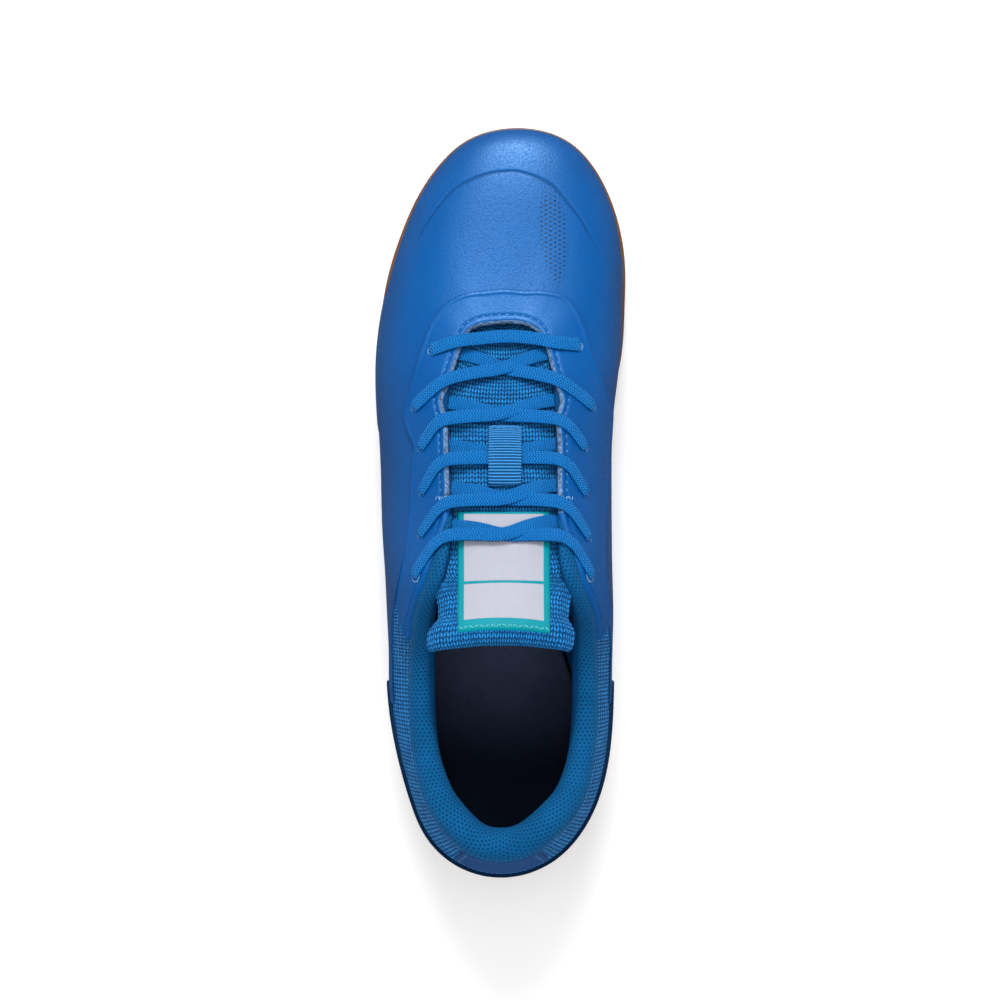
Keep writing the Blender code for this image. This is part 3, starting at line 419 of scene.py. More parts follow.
EYELETS = np.array([
    # row_l  down_l row_r  down_r
    [12.70, 0.090, 12.75, 0.115],
    [11.10, 0.120, 11.10, 0.145],
    [10.35, 0.095, 10.35, 0.100],
    [9.62, 0.110, 9.60, 0.110],
    [8.90, 0.110, 8.85, 0.115],
    [8.05, 0.085, 8.05, 0.085],
])
SADDLE_TOP = 1.3 * GAP + OVERLAY
CROWN_UP = np.array([0.0, 0.316, 0.949])
TURN = 2.0 * np.pi


def under_wall(place, distance):
    """Points just inside the upper, a given distance below the edge of the opening."""
    climb = from_edge(place, distance)
    point, normal = skin(place, climb)
    return point - normal * (wall(place, climb)[..., None] + GAP + TONGUE_CLEAR)


def tongue_sheet():
    """Top face of the tongue: under each edge it follows the inside of the upper, between them it
    arches, and above the lacing it runs free."""
    rows = TONGUE_ROWS
    both = (left_at(rows), right_at(rows))
    sides = [under_wall(place, UNDER * TONGUE_TUCK * TONGUE_REACH[:, None]) for place in both]
    ends = [under_wall(place, np.array([0.003, 0.0])) for place in both]
    start, end = ends[0][:, 1], ends[1][:, 1]
    width = np.linalg.norm(end - start, axis=-1)[:, None]
    out = unit(start - ends[0][:, 0]) * 0.33 * width
    back = unit(end - ends[1][:, 0]) * 0.33 * width
    middle = bezier(start, start + out, end + back, end, BRIDGE)
    laced = np.concatenate([sides[0], middle, sides[1][:, ::-1]], axis=1)
    along, centre, half, height, fall = (TONGUE_TOP[:, i:i + 1] for i in range(5))
    free = stack((centre + half * ACROSS) * BALL_WIDTH,
                 (along - 0.5) * LENGTH - 0.0035 * ACROSS ** 2,
                 (height - fall * ACROSS ** 2) * INSTEP_HEIGHT)
    return np.concatenate([laced, free], axis=0)


def on_upper(row, right, down, lift):
    """One point of the upper and its normal, by side, table row and distance below the edge."""
    place = np.array([right_at(row) if right else left_at(row)])
    point, normal = skin(place, from_edge(place, np.array([[down]])), lift)
    return point[0, 0], normal[0, 0]


def eyelet(number, right, lift):
    row, down = EYELETS[number, 2:] if right else EYELETS[number, :2]
    return on_upper(row, right, down * BALL_WIDTH, lift)


def even_path(points, count):
    arcs = arc_lengths(points[:, :3])
    want = np.linspace(0.0, arcs[-1], count)
    return np.stack([np.interp(want, arcs, column) for column in points.T], axis=1)


def smooth_path(points, count):
    """Even points on a smooth open curve through the given ones, by cutting its corners."""
    points = np.asarray(points)
    for _ in range(4):
        cut_a = points[:-1] * 0.75 + points[1:] * 0.25
        cut_b = points[:-1] * 0.25 + points[1:] * 0.75
        middle = np.stack([cut_a, cut_b], axis=1).reshape(-1, points.shape[1])
        points = np.concatenate([points[:1], middle, points[-1:]])
    return even_path(points, count)


def facing(point, normal):
    """Path of points, each with the way that its surface looks."""
    return np.concatenate([point, normal], axis=-1)


def bump(value, middle, spread):
    return np.exp(-((value - middle) / spread) ** 2)


def step_up(value, start, end):
    """Eased step from 0 at start to 1 at end."""
    s = np.clip((value - start) / (end - start), 0.0, 1.0)
    return s * s * (3.0 - 2.0 * s)


def circle(normal, count):
    """Directions round a normal."""
    turn = TURN * np.arange(count)[:, None] / count
    first = unit(np.cross(normal, [0.0, 1.0, 0.0]))
    return np.cos(turn) * first + np.sin(turn) * np.cross(normal, first)


# Meshes

class Surface:
    """Faces gathered from grids of points, each corner with its own place on the cloth in metres."""

    def __init__(self):
        self.points, self.faces, self.cloth, self.coat = [], [], [], []
        self.count = 0

    def grid(self, points, cloth, wrap_rows=False, wrap_columns=False, flip=False, coat=0):
        """Adds a grid of points (rows x columns); cloth has one more row or column where the grid
        closes on itself. coat picks the material."""
        rows, columns = points.shape[:2]
        index = self.count + np.arange(rows * columns).reshape(rows, columns)
        if wrap_rows:
            index = np.vstack([index, index[:1]])
        if wrap_columns:
            index = np.hstack([index, index[:, :1]])
        tall, wide = index.shape
        take = [(slice(i, tall - 1 + i), slice(j, wide - 1 + j))
                for i, j in ((0, 0), (1, 0), (1, 1), (0, 1))]
        faces = np.stack([index[t] for t in take], axis=-1).reshape(-1, 4)
        spots = np.stack([cloth[t] for t in take], axis=-2).reshape(-1, 4, 2)
        if flip:
            faces, spots = faces[:, ::-1], spots[:, ::-1]
        coat = np.broadcast_to(np.asarray(coat), (tall - 1, wide - 1)).ravel()
        self.add(points.reshape(-1, 3), faces, spots, coat)
        return index

    def add(self, points, faces, spots, coat):
        self.points.append(points)
        self.faces.append(faces)
        self.cloth.append(spots)
        self.coat.append(coat)
        self.count += len(points)

    def caps(self, rings, flip=False, coat=0):
        """Closes rings of points already added, given by their numbers (caps x corners)."""
        faces = rings[:, ::-1] if flip else rings
        self.add(np.zeros((0, 3)), faces, np.zeros(faces.shape + (2,)), np.full(len(faces), coat))

    def finish(self, name, coats, stands_for=(), merge=False, marks=None):
        """Blender object of the gathered faces, smooth, riding on the shoe. marks holds named values,
        one to a point, that the material reads."""
        mesh = bpy.data.meshes.new(name)
        points = np.concatenate(self.points)
        corner = np.concatenate([f.ravel() for f in self.faces])
        total = np.concatenate([np.full(len(f), f.shape[1]) for f in self.faces])
        mesh.vertices.add(len(points))
        mesh.vertices.foreach_set("co", points.astype(np.float32).ravel())
        mesh.loops.add(len(corner))
        mesh.loops.foreach_set("vertex_index", corner.astype(np.int32))
        mesh.polygons.add(len(total))
        start = np.concatenate([[0], np.cumsum(total)[:-1]])
        mesh.polygons.foreach_set("loop_start", start.astype(np.int32))
        mesh.polygons.foreach_set("material_index", np.concatenate(self.coat).astype(np.int32))
        mesh.polygons.foreach_set("use_smooth", np.ones(len(total), dtype=bool))
        layer = mesh.uv_layers.new(name="cloth")
        spots = np.concatenate([c.reshape(-1, 2) for c in self.cloth])
        layer.data.foreach_set("uv", spots.astype(np.float32).ravel())
        for mark, values in (marks or {}).items():
            layer = mesh.attributes.new(mark, "FLOAT", "POINT")
            layer.data.foreach_set("value", values.astype(np.float32))
        mesh.update(calc_edges=True)
        mesh.validate()
        if merge:
            reworked(mesh, lambda work: bmesh.ops.remove_doubles(work, verts=work.verts, dist=1e-6))
        made = bpy.data.objects.new(name, mesh)
        bpy.context.scene.collection.objects.link(made)
        for coat in coats:
            mesh.materials.append(coat)
        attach(made, "root")
        if stands_for:
            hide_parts(*stands_for)
        return made


def reworked(mesh, change):
    """Runs one change on a mesh's editable copy and puts it back."""
    work = bmesh.new()
    work.from_mesh(mesh)
    change(work)
    work.to_mesh(mesh)
    work.free()


def apply_modifiers(piece):
    graph = bpy.context.evaluated_depsgraph_get()
    made = bpy.data.meshes.new_from_object(piece.evaluated_get(graph))
    piece.modifiers.clear()
    piece.data = made


def cloth_spots(points, wrap_rows=False, wrap_columns=False):
    """Place of each grid point on its own cloth: mean length down the rows and across the columns."""
    down = np.concatenate([points, points[:1]]) if wrap_rows else points
    across = np.concatenate([points, points[:, :1]], axis=1) if wrap_columns else points
    down = arc_lengths(np.swapaxes(down, 0, 1)).mean(axis=0)
    across = arc_lengths(across).mean(axis=0)
    return np.stack(np.broadcast_arrays(down[:, None], across[None, :]), axis=-1)


def grid_normals(points):
    """Normals of a grid, all turned to look up."""
    normal = unit(np.cross(np.gradient(points, axis=1), np.gradient(points, axis=0)))
    return np.where(normal[..., 2:3] < 0.0, -normal, normal)


# Turned upper edge of a thin sheet: how far below its border each row lies, and how high it stands
EDGE_DOWN = np.array([0.00045, 0.00015, 0.0, 0.0])
EDGE_LIFT = np.array([0.9, 0.5, -0.2])
# The same for a laid sheet with a steep border, and for the slanting cut edge of a free flap
STEEP_DOWN = np.array([0.0, 0.0, 0.00015, 0.00045])
STEEP_LIFT = np.array([-0.30, 0.55, 0.90, 1.0])
FLAP_DOWN = np.array([0.0, 0.0, 0.0002, 0.0006, 0.0009])
FLAP_LIFT = np.array([-0.55, 0.05, 0.25, 0.96, 1.0])


def turned_top(climb, top, long):
    """Climbs of a sheet's rows, with close rows added at its upper border."""
    return np.concatenate([climb, top[:, None] - EDGE_DOWN / long[:, None]], axis=1)


def walk(places):
    """Length along the widest line at each place, as a column, and the distance to the nearer end."""
    ahead = arc_lengths(raw_skin(places, np.ones((len(places), 1)))[:, 0])[:, None]
    return ahead, np.minimum(ahead, ahead[-1] - ahead)


def laid_sheet(surface, places, low, high, thick, columns, base=0.0, bead=0.0, groove=0.0, flap=False):
    """Sheet laid on the upper between two lines, given by their distance below the edge. Its face
    stands thick above base, both borders and both ends turn steeply down into what lies below. A
    bead may run just inside the lower border and a groove just inside the upper one. A flap runs
    free past the edge and has a slanting cut edge of the second material."""
    head, head_lift = (FLAP_DOWN, FLAP_LIFT) if flap else (STEEP_DOWN, STEEP_LIFT)
    share = np.linspace(0.0, 1.0, columns)[1:-1] ** 1.25
    low, high = low[:, None], high[:, None]
    inner = (high + head[-1]) + (low - 0.00045 - high - head[-1]) * share
    down = np.concatenate([high + head, inner, (low - STEEP_DOWN)[:, ::-1]], axis=1)
    lift = np.concatenate([head_lift, np.ones(columns - 2), STEEP_LIFT[::-1]])[None, :] * thick
    lift = lift + bead * bump(low - down, 0.0011, 0.00055) * (lift > 0.5 * thick)
    lift = lift - groove * bump(down - high, 0.0026, 0.0006) + base
    ahead, end = walk(places)
    lift = np.where(end < 1e-9, base - 0.3 * thick, lift - thick * 0.45 * np.exp(-end / 0.00018))
    point = (ledge if flap else shell)(places, down, lift)[0]
    coats = np.zeros((len(places) - 1, down.shape[1] - 1), dtype=int)
    if flap:
        coats[row_of(places[:-1]) > 9.3, :3] = 1
    spots = np.stack(np.broadcast_arrays(ahead, down), axis=-1)
    surface.grid(point, spots, flip=True, coat=coats)


def flat_run(surface, path, width, thick, count=14, ripple=0.0):
    """Flat band swept along a path of points with facing directions, its wide side square to both.
    The profile is a superellipse of the given width and thickness."""
    point, face = path[:, :3], path[:, 3:]
    along = unit(np.gradient(point, axis=0))
    side = unit(np.cross(face, along))
    up = np.cross(along, side)
    turn = TURN * (np.arange(count) + 0.5) / count
    c, s = np.cos(turn), np.sin(turn)
    across = np.sign(c) * np.abs(c) ** 0.55 / 2.0
    over = np.sign(s) * np.abs(s) ** 0.75 / 2.0
    wide = across * np.broadcast_to(width, (len(path),))[:, None]
    tall = over * (thick + np.broadcast_to(ripple, (len(path),)))[:, None]
    ring = point[:, None] + side[:, None] * wide[..., None] + up[:, None] * tall[..., None]
    spots = np.empty((len(path), count + 1, 2))
    spots[..., 0] = arc_lengths(point)[:, None]
    spots[:, :count, 1] = wide + (over < 0.0) * 0.02
    spots[:, count, 1] = spots[:, 0, 1]
    index = surface.grid(ring, spots, wrap_columns=True, flip=True)
    surface.caps(index[:1, :count])
    surface.caps(index[-1:, :count], flip=True)


def stitches(surface, path, length, gap, width, height, coat=0, lean_out=0.0):
    """Row of stitches along a path of points with facing directions. Each stitch is a small round
    bar that rises from the cloth, bows up and sinks again. They may lean to either side in turn."""
    arcs = arc_lengths(path[:, :3])
    count = max(1, int((arcs[-1] + gap) / (length + gap)))
    pitch = arcs[-1] / count
    start = np.arange(count) * pitch + (pitch - length) / 2.0
    share = np.linspace(0.0, 1.0, 5)
    want = start[:, None] + share * length
    line = np.stack([np.interp(want, arcs, column) for column in path.T], axis=-1)
    point, face = line[..., :3], unit(line[..., 3:])
    along = unit(point[:, -1:] - point[:, :1])
    side = unit(np.cross(face, np.broadcast_to(along, face.shape)))
    sway = lean_out * (share - 0.5) * np.where(np.arange(count) % 2, 1.0, -1.0)[:, None]
    point = point + side * sway[..., None]
    turn = TURN * np.arange(6) / 6.0
    thick = (width / 2.0 * np.array([0.55, 0.95, 1.0, 0.95, 0.55]))[:, None]
    centre = point + face * (height * np.sin(np.pi * share) ** 0.7 - 0.25 * width)[..., None]
    ring = (centre[:, :, None] + side[:, :, None] * (np.cos(turn) * thick)[..., None]
            + face[:, :, None] * (np.sin(turn) * thick)[..., None])
    number = np.arange(count * 30).reshape(count, 5, 6)
    after = np.roll(number, -1, axis=2)
    faces = np.stack([number[:, :-1], after[:, :-1], after[:, 1:], number[:, 1:]], axis=-1)
    faces = faces.reshape(-1, 4)
    around = np.broadcast_to(turn / 6.0 * width, (count, 5, 6))
    run = np.broadcast_to((share * length)[:, None], (count, 5, 6))
    spots = np.stack([run, around], axis=-1).reshape(-1, 2)
    number = number + surface.count
    surface.add(ring.reshape(-1, 3), faces + surface.count, spots[faces], np.full(len(faces), coat))
    surface.caps(number[:, 0, ::-1].copy(), coat=coat)
    surface.caps(number[:, -1].copy(), coat=coat)


# Materials

SHINE_TINT = (0.10, 0.45, 1.0, 1.0)
GLOSS_TINT = (0.26, 0.56, 1.0, 1.0)


class Value:
    """A number, place or colour inside a material; arithmetic with it puts in maths nodes."""

    def __init__(self, coat, socket):
        self.coat = coat
        self.socket = socket

    def maths(self, operation, other=0.0):
        return self.coat.add("Math", {0: self, 1: other}, operation=operation)

    def __add__(self, other):
        return self.maths("ADD", other)

    def __sub__(self, other):
        return self.maths("SUBTRACT", other)

    def __rsub__(self, other):
        return self.coat.add("Math", {0: other, 1: self}, operation="SUBTRACT")

    def __mul__(self, other):
        return self.maths("MULTIPLY", other)

    def __pow__(self, other):
        return self.maths("POWER", other)

    def __abs__(self):
        return self.maths("ABSOLUTE")

    def floor(self):
        return self.maths("FLOOR")

    def fold(self):
        """Distance of the fraction from its middle: 0.5 at each whole number, 0 half way."""
        return abs(self.maths("FRACT") - 0.5)

    def wave(self, turn):
        return (self * turn).maths("SINE")

    def most(self, other):
        return self.maths("MAXIMUM", other)

    def parts(self):
        node = self.coat.add("SeparateXYZ", {0: self}).socket.node
        return [Value(self.coat, out) for out in node.outputs]

    def noise(self, scale, detail=2.0):
        return self.coat.add("TexNoise", {"Vector": self, "Scale": scale, "Detail": detail})

    def cells(self, scale, feature="F1"):
        return self.coat.add("TexVoronoi", {"Vector": self, "Scale": scale}, feature=feature)

    def mix(self, a, b):
        """Colour a where this value is 0, b where it is 1."""
        return self.coat.add("Mix", {0: self, 6: a, 7: b}, out=2, data_type="RGBA")

    def between(self, low, high, to_low=0.0, to_high=1.0, kind="SMOOTHSTEP"):
        """Eased from to_low at low to to_high at high."""
        return self.coat.add("MapRange", {0: self, 1: low, 2: high, 3: to_low, 4: to_high},
                             interpolation_type=kind)

    def raised(self, depth):
        return self.coat.add("Bump", {"Height": self, "Distance": depth, "Strength": 1.0})


class Coat:
    """A material under construction: puts in shader nodes and joins them."""

    def __init__(self, name):
        self.made = bpy.data.materials.new(name)
        self.made.use_nodes = True
        self.tree = self.made.node_tree

    def add(self, kind, inputs=(), out=0, **settings):
        node = self.tree.nodes.new("ShaderNode" + kind)
        for key, value in settings.items():
            setattr(node, key, value)
        for key, value in dict(inputs).items():
            self.join(value, node.inputs[key])
        return Value(self, node.outputs[out])

    def join(self, value, socket):
        if isinstance(value, Value):
            self.tree.links.new(value.socket, socket)
        else:
            socket.default_value = value

    def set(self, **values):
        """Sets or joins inputs of the shader and gives back the material."""
        for key, value in values.items():
            self.join(value, self.tree.nodes["Principled BSDF"].inputs[key.replace("_", " ")])
        return self.made

    def yarn(self, sheen, level, **values):
        """Finish of a textile, whose sheen and gloss are tinted blue."""
        return self.set(Sheen_Weight=sheen, Specular_IOR_Level=level, Sheen_Tint=SHINE_TINT,
                        Specular_Tint=SHINE_TINT, **values)

    def place(self):
        return self.add("TexCoord", out=3)

    def cloth(self):
        """The two lengths on the cloth: down the rows and across the columns."""
        return self.add("UVMap", uv_map="cloth").parts()[:2]

    def mark(self, name):
        return self.add("Attribute", out=2, attribute_name=name)


def shade(colour, factor):
    """Colour with its brightness multiplied."""
    return tuple(min(1.0, c * factor) for c in colour[:3]) + (1.0,)


def synthetic_coat(name, colour, grain=1.0, gloss=0.44, marked=False):
    """Smooth pebbled synthetic: cell-shaped grain about 0.7 mm across under a finer one, a slow
    drift of tone, a little duller where the grain is deep. A marked piece is darker along its
    pressed line and carries two patches of small dark diamonds near the toe."""
    coat = Coat(name)
    place = coat.place()
    cell = place.cells(1400.0, "SMOOTH_F1")
    depth = cell * 0.75 + place.noise(3000.0) * 0.30
    drift = place.noise(22.0, 3.0)
    tone = drift.between(0.35, 0.65).mix(shade(colour, 0.94), shade(colour, 1.06))
    tone = cell.between(0.30, 0.75, 0.0, 0.22).mix(tone, shade(colour, 0.55))
    if marked:
        tone = (coat.mark("pressed") * 0.6).mix(tone, shade(colour, 0.30))
        tone = (diamonds(coat) * 0.88).mix(tone, shade(colour, 0.08))
    return coat.set(Base_Color=tone, Roughness=depth.between(0.2, 0.9, gloss - 0.05, gloss + 0.12),
                    Normal=depth.raised(0.00009 * grain), Specular_IOR_Level=0.38,
                    Specular_Tint=GLOSS_TINT)


def diamonds(coat):
    """Share of dark print: staggered columns of diamonds 1.8 mm apart. With u = x / 3.50 + y / 1.80 and
    v = x / 3.50 - y / 1.80 in millimetres, each unit cell of (u, v) holds one diamond. They fill a
    tapered strip on the right and, faintly, a short one on the left."""
    x, y, _ = coat.place().parts()
    one, two = x * (1.0 / 0.00350), y * (1.0 / 0.00180)
    reach = (one + two + 200.0).fold().most((one - two + 200.0).fold())
    dot = reach.between(0.19, 0.30, 1.0, 0.0)
    half = y.between(0.078, 0.098, 0.0012, 0.0056) * y.between(0.103, 0.124, 1.0, 0.45)
    strip = (abs(x - (0.0290 - y * 0.085)) - half).between(-0.0016, 0.0010, 1.0, 0.0)
    ends = y.between(0.078, 0.086) * y.between(0.112, 0.123, 1.0, 0.25)
    near = abs(x + 0.0135).between(0.0010, 0.0030, 0.22, 0.0)
    faint = near * abs(y - 0.1035).between(0.0030, 0.0090, 1.0, 0.0)
    return dot * (strip * ends).most(faint)


def knit_coat(name, light, dark, wide, tall, mottle=0.4, slant=0.9, sheen=0.12):
    """Knit of small legs in V shapes: columns wide metres apart, rows tall metres apart. Each leg is
    rounded, and stitches differ in tone from one to the next. Painted shade darkens the gaps
    between legs and a painted highlight lightens the crown of each leg."""
    coat = Coat(name)
    place = coat.place()
    across, along = coat.cloth()
    column = across * (1.0 / wide)
    side = column.fold()
    row = along * (1.0 / tall) + side * slant
    swell = row.maths("FRACT").wave(np.pi)
    height = side.wave(TURN) ** 0.7 * swell ** 0.6
    cell = coat.add("CombineXYZ", {0: column.floor(), 1: row.floor()})
    odd = coat.add("TexWhiteNoise", {0: cell}, noise_dimensions="3D")
    share = odd * mottle + place.noise(190.0) * (1.0 - mottle)
    tone = share.between(0.25, 0.75).mix(dark, light)
    # Painted shade: the low gaps between legs are darkened
    tone = height.between(0.05, 0.75).mix(shade(dark, 0.40), tone)
    # Painted highlight: the crown of each leg is lightened
    tone = (height.between(0.6, 1.0) * 0.55).mix(tone, shade(light, 1.5))
    return coat.yarn(sheen, 0.15, Base_Color=tone, Roughness=height.between(0.0, 1.0, 0.95, 0.75),
                     Normal=(height + place.noise(2600.0) * 0.12).raised(0.0007))


def mesh_coat(name, light, dark, pitch):
    """Air mesh: small round holes in a six-sided net, drawn by three waves sixty degrees apart."""
    coat = Coat(name)
    place = coat.place()
    across, along = coat.cloth()
    waves = []
    for angle in (0.0, np.pi / 3.0, 2.0 * np.pi / 3.0):
        run = across * float(np.cos(angle) * TURN / pitch) + along * float(np.sin(angle) * TURN / pitch)
        waves.append(run.maths("COSINE"))
    hole = (waves[0] + waves[1] + waves[2]).between(0.1, 2.2)
    fibre = place.noise(3600.0)
    tone = place.noise(90.0).between(0.3, 0.7).mix(shade(light, 0.86), shade(light, 1.10))
    tone = (fibre * 0.35).mix(tone, shade(light, 1.35))
    tone = (hole * 0.92).mix(tone, dark)
    return coat.yarn(0.12, 0.15, Base_Color=tone, Roughness=0.8,
                     Normal=(fibre * 0.2 - hole).raised(0.0002))


def lace_coat(name, light, dark):
    """Flat braid: fine slanting yarns that turn from one narrow column to the next, so that they
    meet in V shapes along the lace."""
    coat = Coat(name)
    along, across = coat.cloth()
    side = (across * (1.0 / 0.00180) + 20.0).fold()
    yarn = (along * (1.0 / 0.00105) + side * 1.6).wave(TURN)
    weave = (yarn * 0.5 + 0.5) * abs(side - 0.25).between(0.14, 0.25, 1.0, 0.45)
    fibre = coat.place().noise(3500.0)
    tone = weave.between(0.05, 0.85).mix(dark, light)
    tone = (fibre * 0.25).mix(tone, shade(light, 1.3))
    return coat.yarn(0.12, 0.2, Base_Color=tone, Roughness=0.78,
                     Normal=(weave + fibre * 0.15).raised(0.00030))


def webbing_coat(name, light, dark, pitch):
    """Ribbed webbing: bright cross ribs with dark gaps, fine yarns along the ribs."""
    coat = Coat(name)
    along, across = coat.cloth()
    ribs = along.wave(TURN / pitch)
    fibre = coat.place().noise(3000.0)
    tone = ribs.between(-0.7, 0.7).mix(dark, light)
    tone = (fibre * 0.3).mix(tone, shade(light, 0.7))
    return coat.yarn(0.12, 0.2, Base_Color=tone, Roughness=0.75,
                     Normal=(ribs + (across.wave(TURN / 0.0006) + fibre) * 0.15).raised(0.0002))


def cloth_coat(name, colour, pitch, depth, rough=0.85, spread=0.25, fade=1.0):
    """Plain weave: over and under yarns crossing at right angles, with a slow drift of tone. The cloth
    is darker by fade toward the heel, painted shade of the shoe's deep back."""
    coat = Coat(name)
    place = coat.place()
    across, along = coat.cloth()
    weave = across.wave(TURN / pitch) * along.wave(TURN / pitch) * 0.5 + 0.5
    tone = place.noise(60.0).mix(shade(colour, 1.0 - spread), shade(colour, 1.0 + spread))
    tone = (weave * 0.4 + 0.6).mix(shade(colour, 0.4), tone)
    if fade < 1.0:
        # Painted shade: the cloth darkens toward the heel, deep in the shoe
        tone = place.parts()[1].between(-0.105, -0.045).mix(shade(colour, fade), tone)
    return coat.yarn(0.05, 0.15, Base_Color=tone, Roughness=rough,
                     Normal=(weave + place.noise(3000.0, 3.0) * 0.4).raised(depth))


def thread_coat(name, colour):
    """Sewing thread: fine twist lines along each stitch."""
    coat = Coat(name)
    along, across = coat.cloth()
    twist = (along * 2600.0 + across * 2600.0).wave(TURN)
    tone = twist.between(-1.0, 1.0).mix(shade(colour, 0.75), shade(colour, 1.15))
    return coat.set(Base_Color=tone, Roughness=0.6, Normal=twist.raised(0.00004), Sheen_Weight=0.2,
                    Specular_IOR_Level=0.4)


def raw_edge_coat(name, colour):
    """Cut edge of the synthetic: pale and slightly fibrous."""
    coat = Coat(name)
    place = coat.add("Mapping", {"Vector": coat.place(), "Scale": (1.0, 1.0, 3.0)})
    fibre = place.noise(700.0, 3.0)
    tone = fibre.between(0.35, 0.65).mix(shade(colour, 0.35), shade(colour, 1.3))
    return coat.set(Base_Color=tone, Roughness=0.85, Normal=fibre.raised(0.0001),
                    Specular_IOR_Level=0.3)


def gum_coat(name, colour, amber, tread=False):
    """Moulded gum rubber: warm brown with amber clouds, a fine sanded skin on the sides. The tread
    has rows 3.7 mm apart of slots 1.2 mm wide, long in the middle and short at the sides; the
    slots are drawn dark, painted shade in the grooves."""
    coat = Coat(name)
    place = coat.place()
    fine = place.noise(1500.0, 3.0)
    low = place.parts()[2].between(0.001, 0.012, 1.0, 0.25)
    tone = (place.noise(26.0, 3.0).between(0.44, 0.66) * low).mix(colour, amber)
    tone = (fine * 0.25).mix(tone, shade(colour, 0.55))
    height = place.cells(1500.0) * 0.6 + fine * 0.5
    depth = 0.00008
    if tread:
        across, along = coat.cloth()
        row = along * (1.0 / 0.0037)
        number = row.floor()
        odd = coat.add("TexWhiteNoise", {1: number}, noise_dimensions="1D")
        shift = odd * 0.35
        slots = []
        for length, fill in ((0.0086, 0.40), (0.0034, 0.27)):
            run = across * (1.0 / length) + shift + number.maths("MODULO", 2.0) * 0.5
            slots.append(run.fold().between(fill, fill + 0.05, 1.0, 0.0))
        short = coat.mark("side").between(0.62, 0.64)
        slot = coat.add("Mix", {0: short, 2: slots[0], 3: slots[1]})
        slot = slot * row.fold().between(0.15, 0.21, 1.0, 0.0) * coat.mark("tread")
        # Painted shade: the slots are darkened to near black, shade in the grooves
        tone = (slot * 0.85).mix(tone, shade(colour, 0.16))
        height = height * 0.08 - slot
        depth = 0.0008
    return coat.set(Base_Color=tone, Roughness=fine.between(0.3, 0.7, 0.42, 0.58),
                    Normal=height.raised(depth), Specular_IOR_Level=0.4)


def label_coat(name, field, border):
    """Woven label: a wide coloured border with two pale fields and a narrow bar between them, with
    the cross ribs of a satin weave over all."""
    coat = Coat(name)
    across, along = coat.cloth()

    def strip(value, start, end):
        rise = value.between(start, start + 0.0001, 0.0, 1.0, "LINEAR")
        return rise * value.between(end, end + 0.0001, 1.0, 0.0, "LINEAR")

    inside = abs(across).between(0.0140, 0.0141, 1.0, 0.0, "LINEAR")
    white = inside * strip(along, 0.0044, 0.0185).most(strip(along, 0.0195, 0.0455))
    weave = (along.wave(TURN / 0.00038) + across.wave(TURN / 0.0005)) * 0.25 + 0.5
    dim = weave * 0.35 + coat.place().noise(300.0) * 0.35
    tone = white.mix(dim.mix(border, shade(border, 0.6)), dim.mix(field, shade(field, 0.75)))
    return coat.set(Base_Color=tone, Roughness=0.62, Normal=(weave + white * -0.8).raised(0.00008),
                    Specular_IOR_Level=0.12)


# Settings that a user would change

def colour_setting(name, text, default):
    return bpy.props.FloatVectorProperty(name=name, description=text, subtype="COLOR", size=3,
                                         min=0.0, max=1.0, default=default)


def length_setting(name, text, default):
    return bpy.props.FloatProperty(name=name, description=text, unit="LENGTH", default=default)


class ShoeLooks(bpy.types.PropertyGroup):
    """Colours of the finishes."""

    vamp: colour_setting("Vamp", "Colour of the smooth synthetic", (0.001, 0.081, 0.305))
    knit_light: colour_setting("Knit Light", "Lighter yarn of the knit", (0.016, 0.210, 0.540))
    knit_dark: colour_setting("Knit Dark", "Darker yarn of the knit", (0.009, 0.108, 0.350))
    mesh: colour_setting("Collar Mesh", "Colour of the collar's air mesh", (0.004, 0.084, 0.225))
    lace: colour_setting("Lace", "Colour of the lace", (0.010, 0.215, 0.670))
    gum: colour_setting("Gum", "Colour of the rubber", (0.165, 0.065, 0.025))
    amber: colour_setting("Gum Clouds", "Warmer clouds in the rubber", (0.330, 0.120, 0.025))
    lining: colour_setting("Lining", "Colour of the lining", (0.003, 0.060, 0.190))
    insole: colour_setting("Insole", "Colour of the insole cloth", (0.060, 0.075, 0.140))
    label_border: colour_setting("Label Border", "Border of the tongue label", (0.000, 0.320, 0.400))
    label_field: colour_setting("Label Field", "Bare field of the label", (0.460, 0.470, 0.550))


class ShoeSizes(bpy.types.PropertyGroup):
    """Sizes of the sewn and woven details."""

    lace_width: length_setting("Lace Width", "Width of the flat lace", 0.0054)
    lace_thick: length_setting("Lace Thickness", "Thickness of the lace", 0.0014)
    stitch: length_setting("Stitch", "Length of one stitch", 0.0019)
    thread: length_setting("Thread", "Thickness of the thread", 0.0010)
    eyelet: length_setting("Eyelet", "Diameter of a lace hole", 0.0040)
    knit_pitch: length_setting("Knit Pitch", "Width of one knit column", 0.0030)
    mesh_pitch: length_setting("Mesh Pitch", "Distance between mesh holes", 0.00145)


def looks():
    return bpy.context.scene.shoe_looks


def sizes():
    return bpy.context.scene.shoe_sizes


def rgba(colour):
    return tuple(colour) + (1.0,)


HALF = 300
STATIONS = np.concatenate([np.linspace(0.0, TOE, HALF + 1)[:-1], np.linspace(TOE, 1.0, HALF + 1)[:-1]])
DONE = {"FINISHED"}


def settle(place, climb):
    """How far the upper draws in above the sole's rim round the toe."""
    return -0.0007 * step_up(row_of(place), 11.0, 13.5)[:, None] * (1.0 - step_up(climb, 1.20, 1.45))


def floor_between(grid, column, half, count):
    """Sheet of points between the left and the right half of one column of a closed grid."""
    across = np.linspace(0.0, 1.0, count)[:, None]
    return (grid[1:half, column][:, None] * (1.0 - across)
            + grid[:half:-1, column][:, None] * across)


# Pieces

